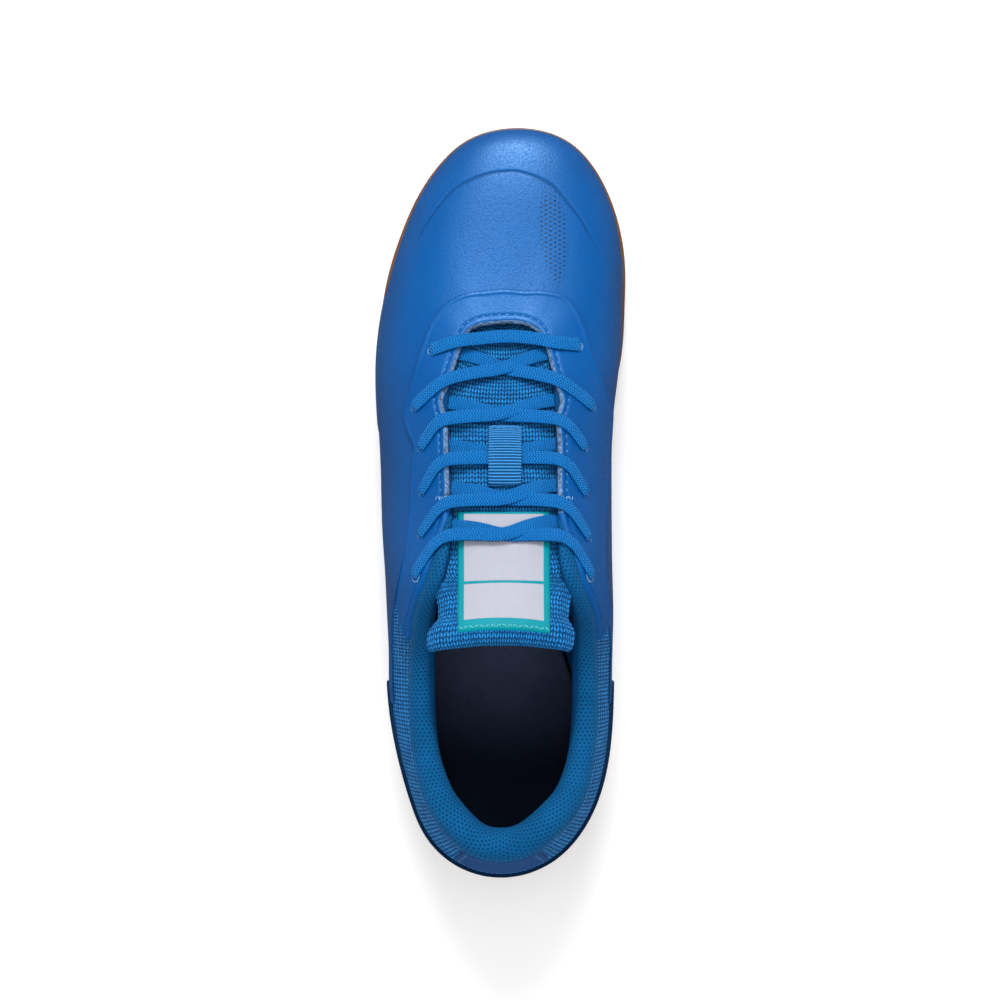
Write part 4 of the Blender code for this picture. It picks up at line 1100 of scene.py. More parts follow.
# Side of the sole from the ground up: inset, share of its height, metres added above that share
SOLE_WALL = np.array([
    [0.0030, 0.0, 0.0], [0.0017, 0.0, 0.0003], [0.0009, 0.0, 0.0009], [0.0004, 0.0, 0.0018],
    [0.0002, 0.0, 0.0030], [0.0001, 0.2, 0.0], [0.0, 0.42, 0.0], [0.0001, 0.42, 0.0004],
    [0.0006, 0.42, 0.0007], [0.0005, 0.5, 0.0], [0.0004, 0.7, 0.0], [0.0004, 0.88, 0.0],
    [0.0007, 1.0, -0.0004], [0.0013, 1.0, 0.0], [0.0030, 1.0, 0.0], [0.0036, 1.0, -0.0006],
    [0.0038, 1.0, -0.0040],
])
# Bend of the tread's rows along the sole
TREAD_Y = [-0.145, -0.11, -0.08, -0.05, 0.0, 0.03, 0.06, 0.10, 0.145]
TREAD_BEND = [-8.0, -5.0, 0.0, 5.0, -6.0, -5.0, 0.0, 6.0, 8.0]

# Upper border of the smooth cover, distance below the edge in metres, by table row
COVER_ROWS = np.array([4.8, 5.5, 6.0, 6.5, 7.0, 7.3, 7.6, 8.3, 8.7, 9.1, 9.6, 10.5, 12.0, 19.0])
COVER_LEFT = np.array([0.0180, 0.0194, 0.0212, 0.0228, 0.0240, 0.0243, 0.0244, 0.0238, 0.0215, 0.0150,
                       0.0090, 0.0070, 0.0070, 0.0070])
COVER_RIGHT = np.array([0.0175, 0.0195, 0.0215, 0.0195, 0.0150, 0.0115, 0.0095, 0.0085, 0.0085, 0.0080,
                        0.0080, 0.0080, 0.0080, 0.0070])
# Row where the cover ends on either side, its thickness, half the width of its seam
COVER_END = 4.9
COVER_THICK = 0.0006
SEAM_REACH = 0.0024
# Toe seam: climb of its line by table row
CAP_ROWS = np.array([12.5, 14.0, 15.25, 16.3, 17.2, 18.1, 19.0])
CAP_LEFT = np.array([1.32, 1.33, 1.320, 1.300, 1.286, 1.298, 1.302])
CAP_RIGHT = np.array([1.32, 1.36, 1.390, 1.378, 1.362, 1.330, 1.302])

# Lower edge of the lace saddle, distance below the throat's edge in metres, by table row
SADDLE_ROWS = np.array([6.4, 6.8, 7.6, 8.2, 8.7, 9.2, 9.6, 10.06, 10.4, 10.65, 11.0, 11.46, 12.2, 13.3,
                        14.5, 16.0, 17.4, 19.0])
SADDLE_LEFT = np.array([0.0022, 0.0095, 0.0180, 0.0196, 0.0200, 0.0200, 0.0184, 0.0160, 0.0142, 0.0172,
                        0.0187, 0.0158, 0.0147, 0.0147, 0.0128, 0.0108, 0.0100, 0.0104])
SADDLE_RIGHT = np.array([0.0022, 0.0110, 0.0190, 0.0230, 0.0260, 0.0290, 0.0310, 0.0325, 0.0335, 0.0340,
                         0.0330, 0.0235, 0.0183, 0.0172, 0.0160, 0.0125, 0.0105, 0.0104])
# Cut edge of the lace saddle along the throat, distance below the edge of the upper
THROAT_ROWS = np.array([6.4, 7.0, 7.6, 8.4, 8.9, 9.24, 9.50, 10.04, 10.50, 10.80, 10.93, 11.08, 11.30, 11.70,
                        12.29, 13.12, 13.90, 14.70, 15.80, 17.2, 19.0])
THROAT_LEFT = 0.001 * np.array([1.2, 2.6, 3.4, 3.4, 1.6, -0.4, -0.4, -1.0, -1.6, -1.7, -1.2, -0.3, 0.8, -0.4,
                                -1.1, -1.2, -1.3, -1.8, -2.9, -3.0, -2.7])
THROAT_RIGHT = 0.001 * np.array([1.2, 2.6, 3.4, 3.4, 1.2, -0.9, -1.0, -1.0, -0.9, -1.5, -1.6, -0.3, 0.9, -0.2,
                                 -1.0, -1.5, -1.8, -2.1, -2.8, -2.7, -2.7])
# Rows where the saddle and its stitches end, height of its underside
SADDLE_END = 6.45
SEWN_END = 9.45
SADDLE_BASE = 0.0006
# Rows where the heel tab, the heel counter and the collar roll end
TAB_END = 0.95
COUNTER_END = 5.35
ROLL_END = 9.25

# Collar roll by table row: metres down the outside, then its share of the crest's half round
ROLL_ROWS = [0.0, 1.2, 3.0, 4.6, 6.0, 6.8, 7.6, 8.4, 9.3]
ROLL_OUTER = [0.0060, 0.0040, 0.0022, 0.0022, 0.0022, 0.0040, 0.0060, 0.0060, 0.0050]
ROLL_IN_ROWS = [0.0, 2.0, 3.6, 5.0, 6.4, 7.6, 9.3]
ROLL_INNER = [1.35, 1.25, 0.92, 0.62, 0.56, 0.54, 0.54]

# Plan of each crossing, metres: where the strands come out from under the left and the right edge,
# where they cross, and the table row where they pass over the far edge
CROSSINGS = np.array([
    # x_left   y_left   x_right  y_right  x_cross  y_cross  row
    [-0.0147, 0.0552, 0.0188, 0.0556, 0.0013, 0.0492, 11.90],
    [-0.0198, 0.0366, 0.0209, 0.0378, -0.0006, 0.0316, 10.84],
    [-0.0175, 0.0199, 0.0193, 0.0207, 0.0017, 0.0155, 10.12],
    [-0.0159, 0.0040, 0.0185, 0.0053, 0.0016, 0.0002, 9.42],
    [-0.0151, -0.0098, 0.0184, -0.0080, 0.0013, -0.0130, 8.84],
])
# Places along the shoe where the tongue swells between crossings
PUFFS = (0.0544, 0.0397, 0.0229, 0.0070, -0.0073)
# Middle of the tongue and the reach of its rounded top
TONGUE_MIDDLE = 0.0015
TONGUE_ROUND = 0.0032
# Label: middle and half width, start and end measured from the tongue's top
LABEL_MIDDLE = 0.0014
LABEL_HALF = 0.0170
LABEL_START = 0.0046
LABEL_STOP = 0.0520
# Keeper: middle, both ends along the shoe, width, thickness, distance of its ribs, point sewn down
KEEPER_MIDDLE = 0.0018
KEEPER_TOP = 0.0272
KEEPER_END = 0.0058
KEEPER_WIDTH = 0.0122
KEEPER_THICK = 0.0011
KEEPER_RIB = 0.00115
KEEPER_SEAM = 12


class SHOE_OT_outsole(bpy.types.Operator):
    """Moulded gum sole: a cup whose wall follows the outline, with a step in its side, and a tread"""
    bl_idname = "shoe.outsole"
    bl_label = "Outsole"

    def execute(self, context):
        u = STATIONS
        low = bottom_z(u)
        proud = 0.0005 * step_up(row_of(u), 10.5, 13.0)
        rings = []
        for inset, share, more in SOLE_WALL:
            rings.append(offset_outline(u, sole_tuck(u) + inset - proud * (share > 0.42),
                                        low + share * (rim_z(u) - low) + more))
        wall_grid = np.stack(rings, axis=1)
        surface = Surface()
        surface.grid(wall_grid, cloth_spots(wall_grid, wrap_rows=True), wrap_rows=True)

        bottom = floor_between(wall_grid, 0, HALF, 90)
        across = np.linspace(0.0, 1.0, 90)
        along = bottom[..., 1] / LENGTH + 0.5
        side = bottom[..., 0] / BALL_WIDTH
        middle = (4.0 * across * (1.0 - across)) ** 0.5
        hollow = 0.15 * SOLE_HEIGHT * np.maximum(bump(along, 0.375, 0.105) - 0.10, 0.0) * middle
        ridge = bump(along - 0.355 + 0.38 * side, 0.0, 0.045) * bump(along, 0.36, 0.15)
        flex = bump(along + 0.10 * side, 0.800, 0.018) + bump(along + 0.16 * side, 0.645, 0.018)
        flex = np.maximum(flex - 0.05, 0.0)
        bottom[..., 2] += hollow * (1.0 - 0.85 * ridge) + 0.025 * SOLE_HEIGHT * flex * middle ** 2
        x, y = bottom[..., 0], bottom[..., 1]
        bend = flow(y.ravel(), TREAD_Y, TREAD_BEND).reshape(y.shape)
        rows = y + bend * x ** 2 + 0.17 * x * bump(y, 0.055, 0.05) + 0.5
        surface.grid(bottom, np.stack([x, rows], axis=-1), flip=True, coat=1)

        side = np.abs(2.0 * across - 1.0)[None, :] + 0.0 * along
        smooth_band = step_up(side, 0.90, 0.93)
        toe_band = step_up(np.hypot(x - 0.008, y - 0.080), 0.052, 0.054) * step_up(y, 0.085, 0.088)
        tread = (1.0 - np.maximum(smooth_band, toe_band)) * (1.0 - step_up(ridge, 0.30, 0.45))
        plain = np.zeros(wall_grid[..., 0].size)
        marks = {"tread": np.append(plain, tread), "side": np.append(plain, side)}
        colours = rgba(looks().gum), rgba(looks().amber)
        coats = [gum_coat("gum_rubber", *colours), gum_coat("gum_tread", *colours, tread=True)]
        surface.finish("gum_sole", coats, ["outsole"], merge=True, marks=marks)
        return DONE


class SHOE_OT_upper(bpy.types.Operator):
    """Knit body of the upper with its lining: the section curve of the last carried round the shoe,
    over the crest of the collar and down the inside"""
    bl_idname = "shoe.upper"
    bl_label = "Knit Body and Lining"

    def execute(self, context):
        u = STATIONS
        long = upper_length(u)[:, None]
        climb = np.broadcast_to(np.linspace(0.02, 1.0, 10)[:-1], (len(u), 9))
        outer = skin(u, climb, settle(u, climb))[0]
        down = long * (1.0 - np.linspace(0.0, 1.0, 30)[:-1])
        over = shell(u, down, settle(u, 2.0 - down / long))[0]
        crest_end = -np.pi * wall(u, np.full((len(u), 1), 2.0)) / 2.0
        crest = shell(u, crest_end * np.linspace(0.0, 1.0, 11)[:-1])[0]
        inside = shell(u, crest_end - long * 0.97 * np.linspace(0.0, 1.0, 18))[0]
        climb = np.broadcast_to(np.linspace(1.0, 0.0, 8)[1:], (len(u), 7))
        deep = skin(u, climb, -wall(u, climb))[0]
        loops = np.concatenate([outer, over, crest, inside, deep], axis=1)
        coats = np.zeros(loops.shape[:2], dtype=int)
        crest_starts = outer.shape[1] + over.shape[1]
        throat = row_of(u) > 9.2
        coats[:, crest_starts + 5:] = 1
        coats[throat, crest_starts:] = 1
        coats[:, outer.shape[1]:crest_starts][throat[:, None] & (down < 0.0045)] = 1
        surface = Surface()
        surface.grid(loops, cloth_spots(loops, True, True), True, True, coat=coats)
        look = looks()
        knit = knit_coat("quarter_knit", rgba(look.knit_light), rgba(look.knit_dark),
                         sizes().knit_pitch, 0.0046)
        lining = cloth_coat("lining_cloth", rgba(look.lining), 0.0011, 0.0001)
        body = surface.finish("upper_body", [knit, lining], ["upper"])
        cut_eyelets(body)
        return DONE


def every_eyelet(lift):
    """Place and normal of each lace hole."""
    for number in range(len(EYELETS)):
        for right in (False, True):
            yield eyelet(number, right, lift)


def cut_eyelets(piece):
    """Cuts the lace holes through a piece and takes the cutter away again."""
    surface = Surface()
    for point, normal in every_eyelet(0.0):
        ring = circle(normal, 20) * (sizes().eyelet / 2.0)
        tube = np.stack([point + ring - normal * 0.006, point + ring + normal * 0.006], axis=0)
        index = surface.grid(tube, np.zeros((2, 21, 2)), wrap_columns=True)
        surface.caps(index[:1, :20], flip=True)
        surface.caps(index[1:, :20])
    cutter = surface.finish("cutter", [])
    reworked(cutter.data, lambda work: bmesh.ops.recalc_face_normals(work, faces=work.faces))
    change = piece.modifiers.new("eyelets", "BOOLEAN")
    change.operation = "DIFFERENCE"
    change.solver = "EXACT"
    change.object = cutter
    apply_modifiers(piece)
    bpy.data.objects.remove(cutter, do_unlink=True)


class SHOE_OT_cover(bpy.types.Operator):
    """Smooth synthetic cover over toe, vamp and sides, with the pressed toe seam"""
    bl_idname = "shoe.cover"
    bl_label = "Vamp Cover"

    def execute(self, context):
        places = places_between(left_at(COVER_END), right_at(COVER_END), 0.0013)
        long = upper_length(places)
        top = 2.0 - two_sided(places, COVER_ROWS, COVER_LEFT, COVER_RIGHT) / long
        line = two_sided(places, CAP_ROWS, CAP_LEFT, CAP_RIGHT)[:, None]
        near = SEAM_REACH / long[:, None]
        low_part = 0.04 + (line - near - 0.04) * np.linspace(0.0, 1.0, 22)
        seam = line + near * np.linspace(-1.0, 1.0, 14)[1:-1]
        top_part = line + near + (top[:, None] - line - near) * np.linspace(0.0, 1.0, 24)[:-1]
        climb = turned_top(np.concatenate([low_part, seam, top_part], axis=1), top, long)
        lift = COVER_THICK + settle(places, climb)
        lift[:, -3:] = EDGE_LIFT * COVER_THICK
        away = (climb - line) * long[:, None]
        fade = step_up(row_of(places)[:, None], 14.6, 16.2)
        lift = lift - 0.00040 * bump(away, 0.0, 0.00055) * fade
        lift = lift + 0.00010 * step_up(-away, 0.0002, 0.0012) * fade
        point = skin(places, climb, lift)[0]
        surface = Surface()
        surface.grid(point, cloth_spots(point))
        coat = synthetic_coat("vamp_synthetic", rgba(looks().vamp), marked=True)
        pressed = bump(away, 0.0, 0.00045) * fade
        surface.finish("vamp_cover", [coat], marks={"pressed": pressed.ravel()})
        return DONE


class SHOE_OT_saddle(bpy.types.Operator):
    """Lace saddle laid round the throat, with a pressed ridge along its lower border, a pale cut
    edge, stitch rows and the lace holes"""
    bl_idname = "shoe.saddle"
    bl_label = "Lace Saddle"

    def execute(self, context):
        places = places_between(left_at(SADDLE_END), right_at(SADDLE_END))
        low = two_sided(places, SADDLE_ROWS, SADDLE_LEFT, SADDLE_RIGHT)
        high = two_sided(places, THROAT_ROWS, THROAT_LEFT, THROAT_RIGHT)
        surface = Surface()
        laid_sheet(surface, places, low, high, SADDLE_TOP - SADDLE_BASE, 44, base=SADDLE_BASE,
                   bead=0.00035, groove=0.0004, flap=True)
        coat = synthetic_coat("saddle_synthetic", shade(looks().vamp, 1.03), 0.8)
        pale = raw_edge_coat("raw_edge", (0.11, 0.21, 0.38, 1.0))
        piece = surface.finish("lace_saddle_cover", [coat, pale], ["lace_saddle"])
        thick = piece.modifiers.new("thickness", "SOLIDIFY")
        thick.thickness = 0.0005
        thick.offset = -1.0
        apply_modifiers(piece)
        cut_eyelets(piece)

        sewn = Surface()
        size = sizes()
        at = np.linspace(left_at(SEWN_END), right_at(SEWN_END), 500)
        away = two_sided(at, THROAT_ROWS, THROAT_LEFT, THROAT_RIGHT)[:, None] + 0.0026
        point, normal = ledge(at, away, SADDLE_TOP - 0.0004)
        stitches(sewn, facing(point[:, 0], normal[:, 0]), size.stitch, 0.0011, size.thread, 0.0007)
        for place in (left_at(9.50), right_at(9.50)):
            point, normal = ledge(np.array([place]), np.linspace(-0.0008, 0.0046, 30)[None, :], SADDLE_TOP)
            stitches(sewn, facing(point[0], normal[0]), 0.0011, 0.00005, 0.0010, 0.0006, coat=1,
                     lean_out=0.0018)
        for centre, normal in every_eyelet(SADDLE_TOP + 0.00005):
            out = circle(normal, 24)[:, None]
            tube = TURN * np.arange(8)[:, None] / 8.0
            ring = (centre + out * (size.eyelet / 2.0 + 0.0003)
                    + 0.00042 * (np.cos(tube) * out + np.sin(tube) * normal))
            sewn.grid(ring, cloth_spots(ring, True, True), True, True, coat=1)
        threads = [thread_coat("blue_thread", (0.010, 0.200, 0.560, 1.0)),
                   thread_coat("light_thread", (0.16, 0.36, 0.62, 1.0))]
        sewn.finish("saddle_stitches", threads)
        return DONE


class SHOE_OT_overlays(bpy.types.Operator):
    """Heel counter, heel tab with its stitches and the two raised bands low on the forefoot"""
    bl_idname = "shoe.overlays"
    bl_label = "Side and Heel Overlays"

    def execute(self, context):
        vamp = looks().vamp
        # The counter's blue is darkened to 0.16 of the vamp's: painted shade on the steep heel
        self.counter(synthetic_coat("counter_painted_shade_synthetic", shade(vamp, 0.16), 0.8))

        places = places_between(right_at(TAB_END) - 1.0, left_at(TAB_END))
        tab = Surface()
        laid_sheet(tab, places, np.full(len(places), 0.0180), np.full(len(places), -0.0010),
                   OVERLAY, 16, base=0.0002)
        smooth = synthetic_coat("tab_synthetic", shade(vamp, 0.80), 0.7, 0.6)
        tab.finish("heel_tab_cover", [smooth], ["heel_tab"])
        sewn = Surface()
        for place in (right_at(0.86) - 1.0, left_at(0.86)):
            down = np.linspace(0.0012, 0.0168, 60)[None, :]
            point, normal = shell(np.array([place]), down, OVERLAY + 0.0002)
            stitches(sewn, facing(point[0], normal[0]), 0.0018, 0.0010, 0.0008, 0.0004)
        thread = thread_coat("tab_thread", (0.010, 0.150, 0.420, 1.0))
        sewn.finish("heel_tab_stitches", [thread])

        self.band("left_band", left_at(10.4), left_at(13.6))
        self.band("right_band", right_at(14.4), right_at(11.9))
        return DONE

    def counter(self, coat):
        places = places_between(right_at(COUNTER_END) - 1.0, left_at(COUNTER_END), 0.0012)
        long = upper_length(places)
        ease = np.sqrt(np.clip(1.0 - (row_of(places) / COUNTER_END) ** 8, 0.0, 1.0)) * 0.6 + 0.4
        top = 0.95 + 0.36 * ease
        climb = turned_top(0.05 + (top[:, None] - 0.05) * np.linspace(0.0, 1.0, 30)[:-1], top, long)
        lift = OVERLAY + 0.0003 * bump((top[:, None] - climb) * long[:, None], 0.0011, 0.0006)
        lift[:, -3:] = EDGE_LIFT * OVERLAY
        ends = walk(places)[1]
        lift = np.where(ends < 1e-9, -0.2 * OVERLAY, lift * (1.0 - 0.4 * np.exp(-ends / 0.0002)))
        point = skin(places, climb, lift)[0]
        surface = Surface()
        surface.grid(point, cloth_spots(point))
        surface.finish("heel_counter_cover", [coat], ["heel_counter"])

    def band(self, node, start, end):
        places = places_between(start, end)
        share = (places - start) / (end - start) * 2.0 - 1.0
        ease = (np.sqrt(np.clip(1.0 - share ** 4, 0.0, 1.0)) * 0.85 + 0.15)[:, None]
        rows = np.linspace(0.0, 1.0, 22)
        climb = 0.80 - 0.22 * ease + 0.52 * ease * rows
        lift = 0.0008 * (np.clip(np.minimum(rows, rows[::-1]) / 0.12, 0.0, 1.0) ** 0.5)[None, :]
        lift = lift * step_up(1.0 - np.abs(share[:, None]), 0.0, 0.30)
        point = skin(places, climb, lift + 0.0003 + settle(places, climb))[0]
        surface = Surface()
        surface.grid(point, cloth_spots(point))
        # Grey-violet blue: the band's own blue, greyed by painted reflection of the white surroundings on its
        # steep face
        band_blue_with_painted_reflection = synthetic_coat(node + "_cover_painted_reflection_synthetic", (0.030, 0.095, 0.260, 1.0), 0.8)
        surface.finish(node + "_cover", [band_blue_with_painted_reflection], [node])


class SHOE_OT_collar(bpy.types.Operator):
    """Padded roll of air mesh round the collar, puffed a little between its two seams"""
    bl_idname = "shoe.collar"
    bl_label = "Collar Roll"

    def execute(self, context):
        places = places_between(right_at(ROLL_END) - 1.0, left_at(ROLL_END), 0.0012)
        row = row_of(places)
        arc = np.pi * wall(places, np.full((len(places), 1), 2.0)) / 2.0
        outer = flow(row, ROLL_ROWS, ROLL_OUTER)[:, None]
        inner = flow(row, ROLL_IN_ROWS, ROLL_INNER)[:, None] * arc
        share = np.linspace(0.0, 1.0, 30)
        edge = np.minimum(share, 1.0 - share)[None, :] * (outer + inner)
        lift = -0.0003 + 0.0011 * (1.0 - np.exp(-edge / 0.0010))
        lift = lift + 0.0006 * np.sin(np.pi * share)[None, :]
        point = shell(places, outer - (outer + inner) * share, lift)[0]
        spots = cloth_spots(point)
        spots[..., 1] = arc_lengths(point)
        surface = Surface()
        surface.grid(point, spots)
        look = looks()
        coat = mesh_coat("collar_mesh", rgba(look.mesh), shade(look.knit_dark, 0.35), sizes().mesh_pitch)
        made = surface.finish("collar_roll", [coat])
        return DONE


def tongue_face(rows, columns):
    """Fine grid over the tongue's top face, a smooth curve through the sheet's own points both ways,
    with the length along it, the share across it and its normals."""
    sheet = tongue_sheet()
    run = arc_lengths(sheet[:, 6])
    fine = np.linspace(0.0, run[-1], rows)
    sheet = flow(fine, run, sheet.reshape(len(sheet), -1)).reshape(rows, 13, 3)
    across = np.linspace(-1.0, 1.0, columns)
    swapped = np.swapaxes(sheet, 0, 1).reshape(13, -1)
    grid = np.swapaxes(flow(across, ACROSS, swapped).reshape(columns, rows, 3), 0, 1)
    grid[..., 0] += 0.16 * (grid[..., 0] - TONGUE_MIDDLE) * bump(grid[..., 1], -0.0350, 0.0090)
    return grid, fine, across, grid_normals(grid)


TONGUE_FACE = tongue_face(300, 100)


def on_tongue(x, y, lift):
    """Point above the tongue's top face at a place seen from above, with the way the face looks."""
    flat = TONGUE_FACE[0].reshape(-1, 3)
    near = np.argmin((flat[:, 0] - x) ** 2 + (flat[:, 1] - y) ** 2)
    face = TONGUE_FACE[3].reshape(-1, 3)[near]
    z = flat[near, 2] - (face[0] * (x - flat[near, 0]) + face[1] * (y - flat[near, 1])) / face[2]
    return facing([x, y, z + lift], unit(face + CROWN_UP))


class SHOE_OT_tongue(bpy.types.Operator):
    """Padded knit tongue with a rolled rim, puffed between the lace crossings"""
    bl_idname = "shoe.tongue"
    bl_label = "Tongue"

    def execute(self, context):
        grid, run, across, normal = TONGUE_FACE
        keep = run < run[-1] - TONGUE_ROUND
        grid, normal = grid[keep], normal[keep]
        left = run[keep][-1] - run[keep]
        thick = np.interp(left, [0.0, 0.03, 0.075, 0.2], [0.0070, 0.0070, 0.0030, 0.0030])[:, None]
        side = np.interp(np.abs(across), [0.0, 0.6, 1.0], [1.0, 0.9, 0.55])[None, :]
        roll = 0.0010 * bump(left, 0.0045, 0.0028)[:, None] - 0.0006 * bump(left, 0.0100, 0.0018)[:, None]
        free = step_up(-left, -0.085, -0.050)[:, None]
        border = 0.0008 * bump((1.0 - np.abs(across))[None, :] * 0.026, 0.0035, 0.0026) * free
        puff = sum(bump(grid[..., 1], y, 0.0042) for y in PUFFS)
        puff = 0.0011 * puff * (1.0 - step_up(np.abs(grid[..., 0] - TONGUE_MIDDLE), 0.012, 0.020))
        high = grid + normal * (roll + border + puff)[..., None]
        low = grid - normal * (thick * side)[..., None]

        mid, half = (high + low) / 2.0, (high - low) / 2.0
        turn = np.radians([30.0, 60.0, 90.0, 120.0, 150.0])[None, :, None]
        caps = []
        for edge, beside in ((-1, -2), (0, 1)):
            out = unit(grid[:, edge] - grid[:, beside])
            out = out * np.linalg.norm(half[:, edge], axis=-1)[:, None]
            caps.append(mid[:, edge][:, None] + half[:, edge][:, None] * np.cos(turn)
                        + out[:, None] * np.sin(turn))
        ring = np.concatenate([caps[1][:, ::-1], high, caps[0], low[:, ::-1]], axis=1)

        # The last row is carried on in shrinking rings that round off the top
        end = ring[-1]
        centre = np.concatenate([mid[-1][:1]] * 5 + [mid[-1]] + [mid[-1][-1:]] * 5 + [mid[-1][::-1]])
        away = unit(ring[-1] - ring[-3])
        turn = np.radians([0.0, 25.0, 50.0, 72.0, 90.0])[:, None, None]
        last = centre + (end - centre) * np.cos(turn) + away * TONGUE_ROUND * np.sin(turn)
        ring = np.concatenate([ring[:-1], last], axis=0)
        surface = Surface()
        surface.grid(ring, cloth_spots(ring, False, True)[..., ::-1].copy(), wrap_columns=True, flip=True)
        look = looks()
        coat = knit_coat("tongue_knit", shade(look.knit_light, 1.12), rgba(look.knit_dark), 0.0021, 0.0019,
                         mottle=0.25, slant=0.8, sheen=0.15)
        made = surface.finish("padded_tongue", [coat], ["tongue"], merge=True)
        return DONE


class SHOE_OT_label(bpy.types.Operator):
    """Woven label sewn on the upper half of the tongue, left bare"""
    bl_idname = "shoe.label"
    bl_label = "Tongue Label"

    def execute(self, context):
        grid, run = TONGUE_FACE[:2]
        left = run[-1] - run
        keep = np.where((left > LABEL_START) & (left < LABEL_STOP))[0][::-1]
        want = np.linspace(LABEL_MIDDLE - LABEL_HALF, LABEL_MIDDLE + LABEL_HALF, 44)
        face = np.array([[np.interp(want, row[:, 0], row[:, k]) for k in range(3)] for row in grid[keep]])
        face = np.swapaxes(face, 1, 2)
        up = grid_normals(face)
        along = (left[keep] - left[keep[0]])[:, None]
        column = np.arange(len(want))[None, :]
        edge = np.minimum(np.minimum(column, column[:, ::-1]) * 0.00085, np.minimum(along, along[-1] - along))
        lift = 0.0011 + 0.0004 * (1.0 - np.exp(-edge / 0.0005)) - 0.0009 * (edge < 1e-6)
        point = face + up * lift[..., None]
        surface = Surface()
        surface.grid(point, np.stack(np.broadcast_arrays(want - LABEL_MIDDLE, along), axis=-1), flip=True)
        look = looks()
        coat = label_coat("label_weave", rgba(look.label_field), rgba(look.label_border))
        surface.finish("woven_label", [coat], ["tongue_label"])
        sewn = Surface()
        sewn_row = 3
        path = facing(point[sewn_row, 1:-1], up[sewn_row, 1:-1])
        stitches(sewn, path, 0.0016, 0.0004, 0.0006, 0.0004, lean_out=0.0009)
        sewn.finish("label_stitches", [thread_coat("label_thread", (0.10, 0.55, 0.58, 1.0))])
        return DONE


class SHOE_OT_keeper(bpy.types.Operator):
    """Short ribbed webbing loop on the middle of the tongue"""
    bl_idname = "shoe.keeper"
    bl_label = "Lace Keeper"

    def execute(self, context):
        share = np.linspace(0.0, 1.0, 40)
        rise_by = 0.0012 + 0.0056 * np.sin(np.pi * share) ** 0.5
        run = KEEPER_TOP + (KEEPER_END - KEEPER_TOP) * share
        path = np.array([on_tongue(KEEPER_MIDDLE, y, r) for y, r in zip(run, rise_by)])
        fine = even_path(path, 150)
        surface = Surface()
        ripple = 0.00030 * np.sin(TURN * arc_lengths(fine[:, :3]) / KEEPER_RIB)
        flat_run(surface, fine, KEEPER_WIDTH, KEEPER_THICK, 22, ripple)
        dark = shade(looks().lace, 0.20)
        coat = webbing_coat("keeper_webbing", (0.060, 0.330, 0.780, 1.0), dark, KEEPER_RIB)
        surface.finish("webbing_keeper", [coat], ["lace_keeper"])
        sewn = Surface()
        seam, after = fine[KEEPER_SEAM], fine[KEEPER_SEAM + 1]
        side = unit(np.cross(seam[3:], unit(after[:3] - seam[:3])))
        line = seam[:3] + side * np.linspace(-0.0052, 0.0052, 20)[:, None] + np.array([0, 0, 0.0007])
        path = facing(line, np.broadcast_to(CROWN_UP, (20, 3)))
        stitches(sewn, path, 0.0017, 0.0006, 0.00055, 0.0003)
        sewn.finish("keeper_stitches", [thread_coat("keeper_thread", shade(looks().vamp, 0.6))])
        return DONE


def lace_lift():
    return SADDLE_TOP + 0.0003 + sizes().lace_thick / 2.0


def into_hole(row, more, number, right):
    """Lace path from over the throat's edge at a table row, over the rim of its eyelet and down
    through it."""
    path = [facing(*on_upper(row, right, 0.0005, lace_lift() + more))]
    hole, normal = eyelet(number, right, lace_lift())
    travel = hole - path[0][:3]
    travel = unit(travel - normal * np.dot(travel, normal))
    for ahead, down, face in ((-0.0026, 0.0, normal), (0.0002, 0.0, unit(normal + 0.5 * travel)),
                              (0.0011, 0.0012, unit(0.4 * normal + travel)),
                              (0.0010, 0.0034, travel), (0.0006, 0.0062, travel)):
        path.append(facing(hole + travel * ahead - normal * down, face))
    return path


def crossing(number, to_right):
    """Lace from under one edge of the throat, over the tongue, down into the next row's hole on the
    other side. The strand to the left always lies on top."""
    start = CROSSINGS[number, :2] if to_right else CROSSINGS[number, 2:4]
    middle = CROSSINGS[number, 4:6]
    out = np.array([-1.0 if to_right else 1.0, 0.05])
    top = 0.0 if to_right else 0.0016
    more = 0.0012 if number > 2 else 0.0
    points = [on_tongue(*(start + out * 0.006), 0.0009 + more),
              on_tongue(*start, 0.0013 + more),
              on_tongue(*(start * 0.55 + middle * 0.45 + [0.0, 0.0008]), 0.0016 + more + top * 0.4),
              on_tongue(*middle, 0.0021 + more + top)]
    end = into_hole(CROSSINGS[number, 6], 0.0007, number + 1, to_right)
    between = points[-1] * 0.5 + end[0] * 0.5
    between[1:3] += [0.0006, 0.0003]
    return smooth_path(points + [between] + end, 120)


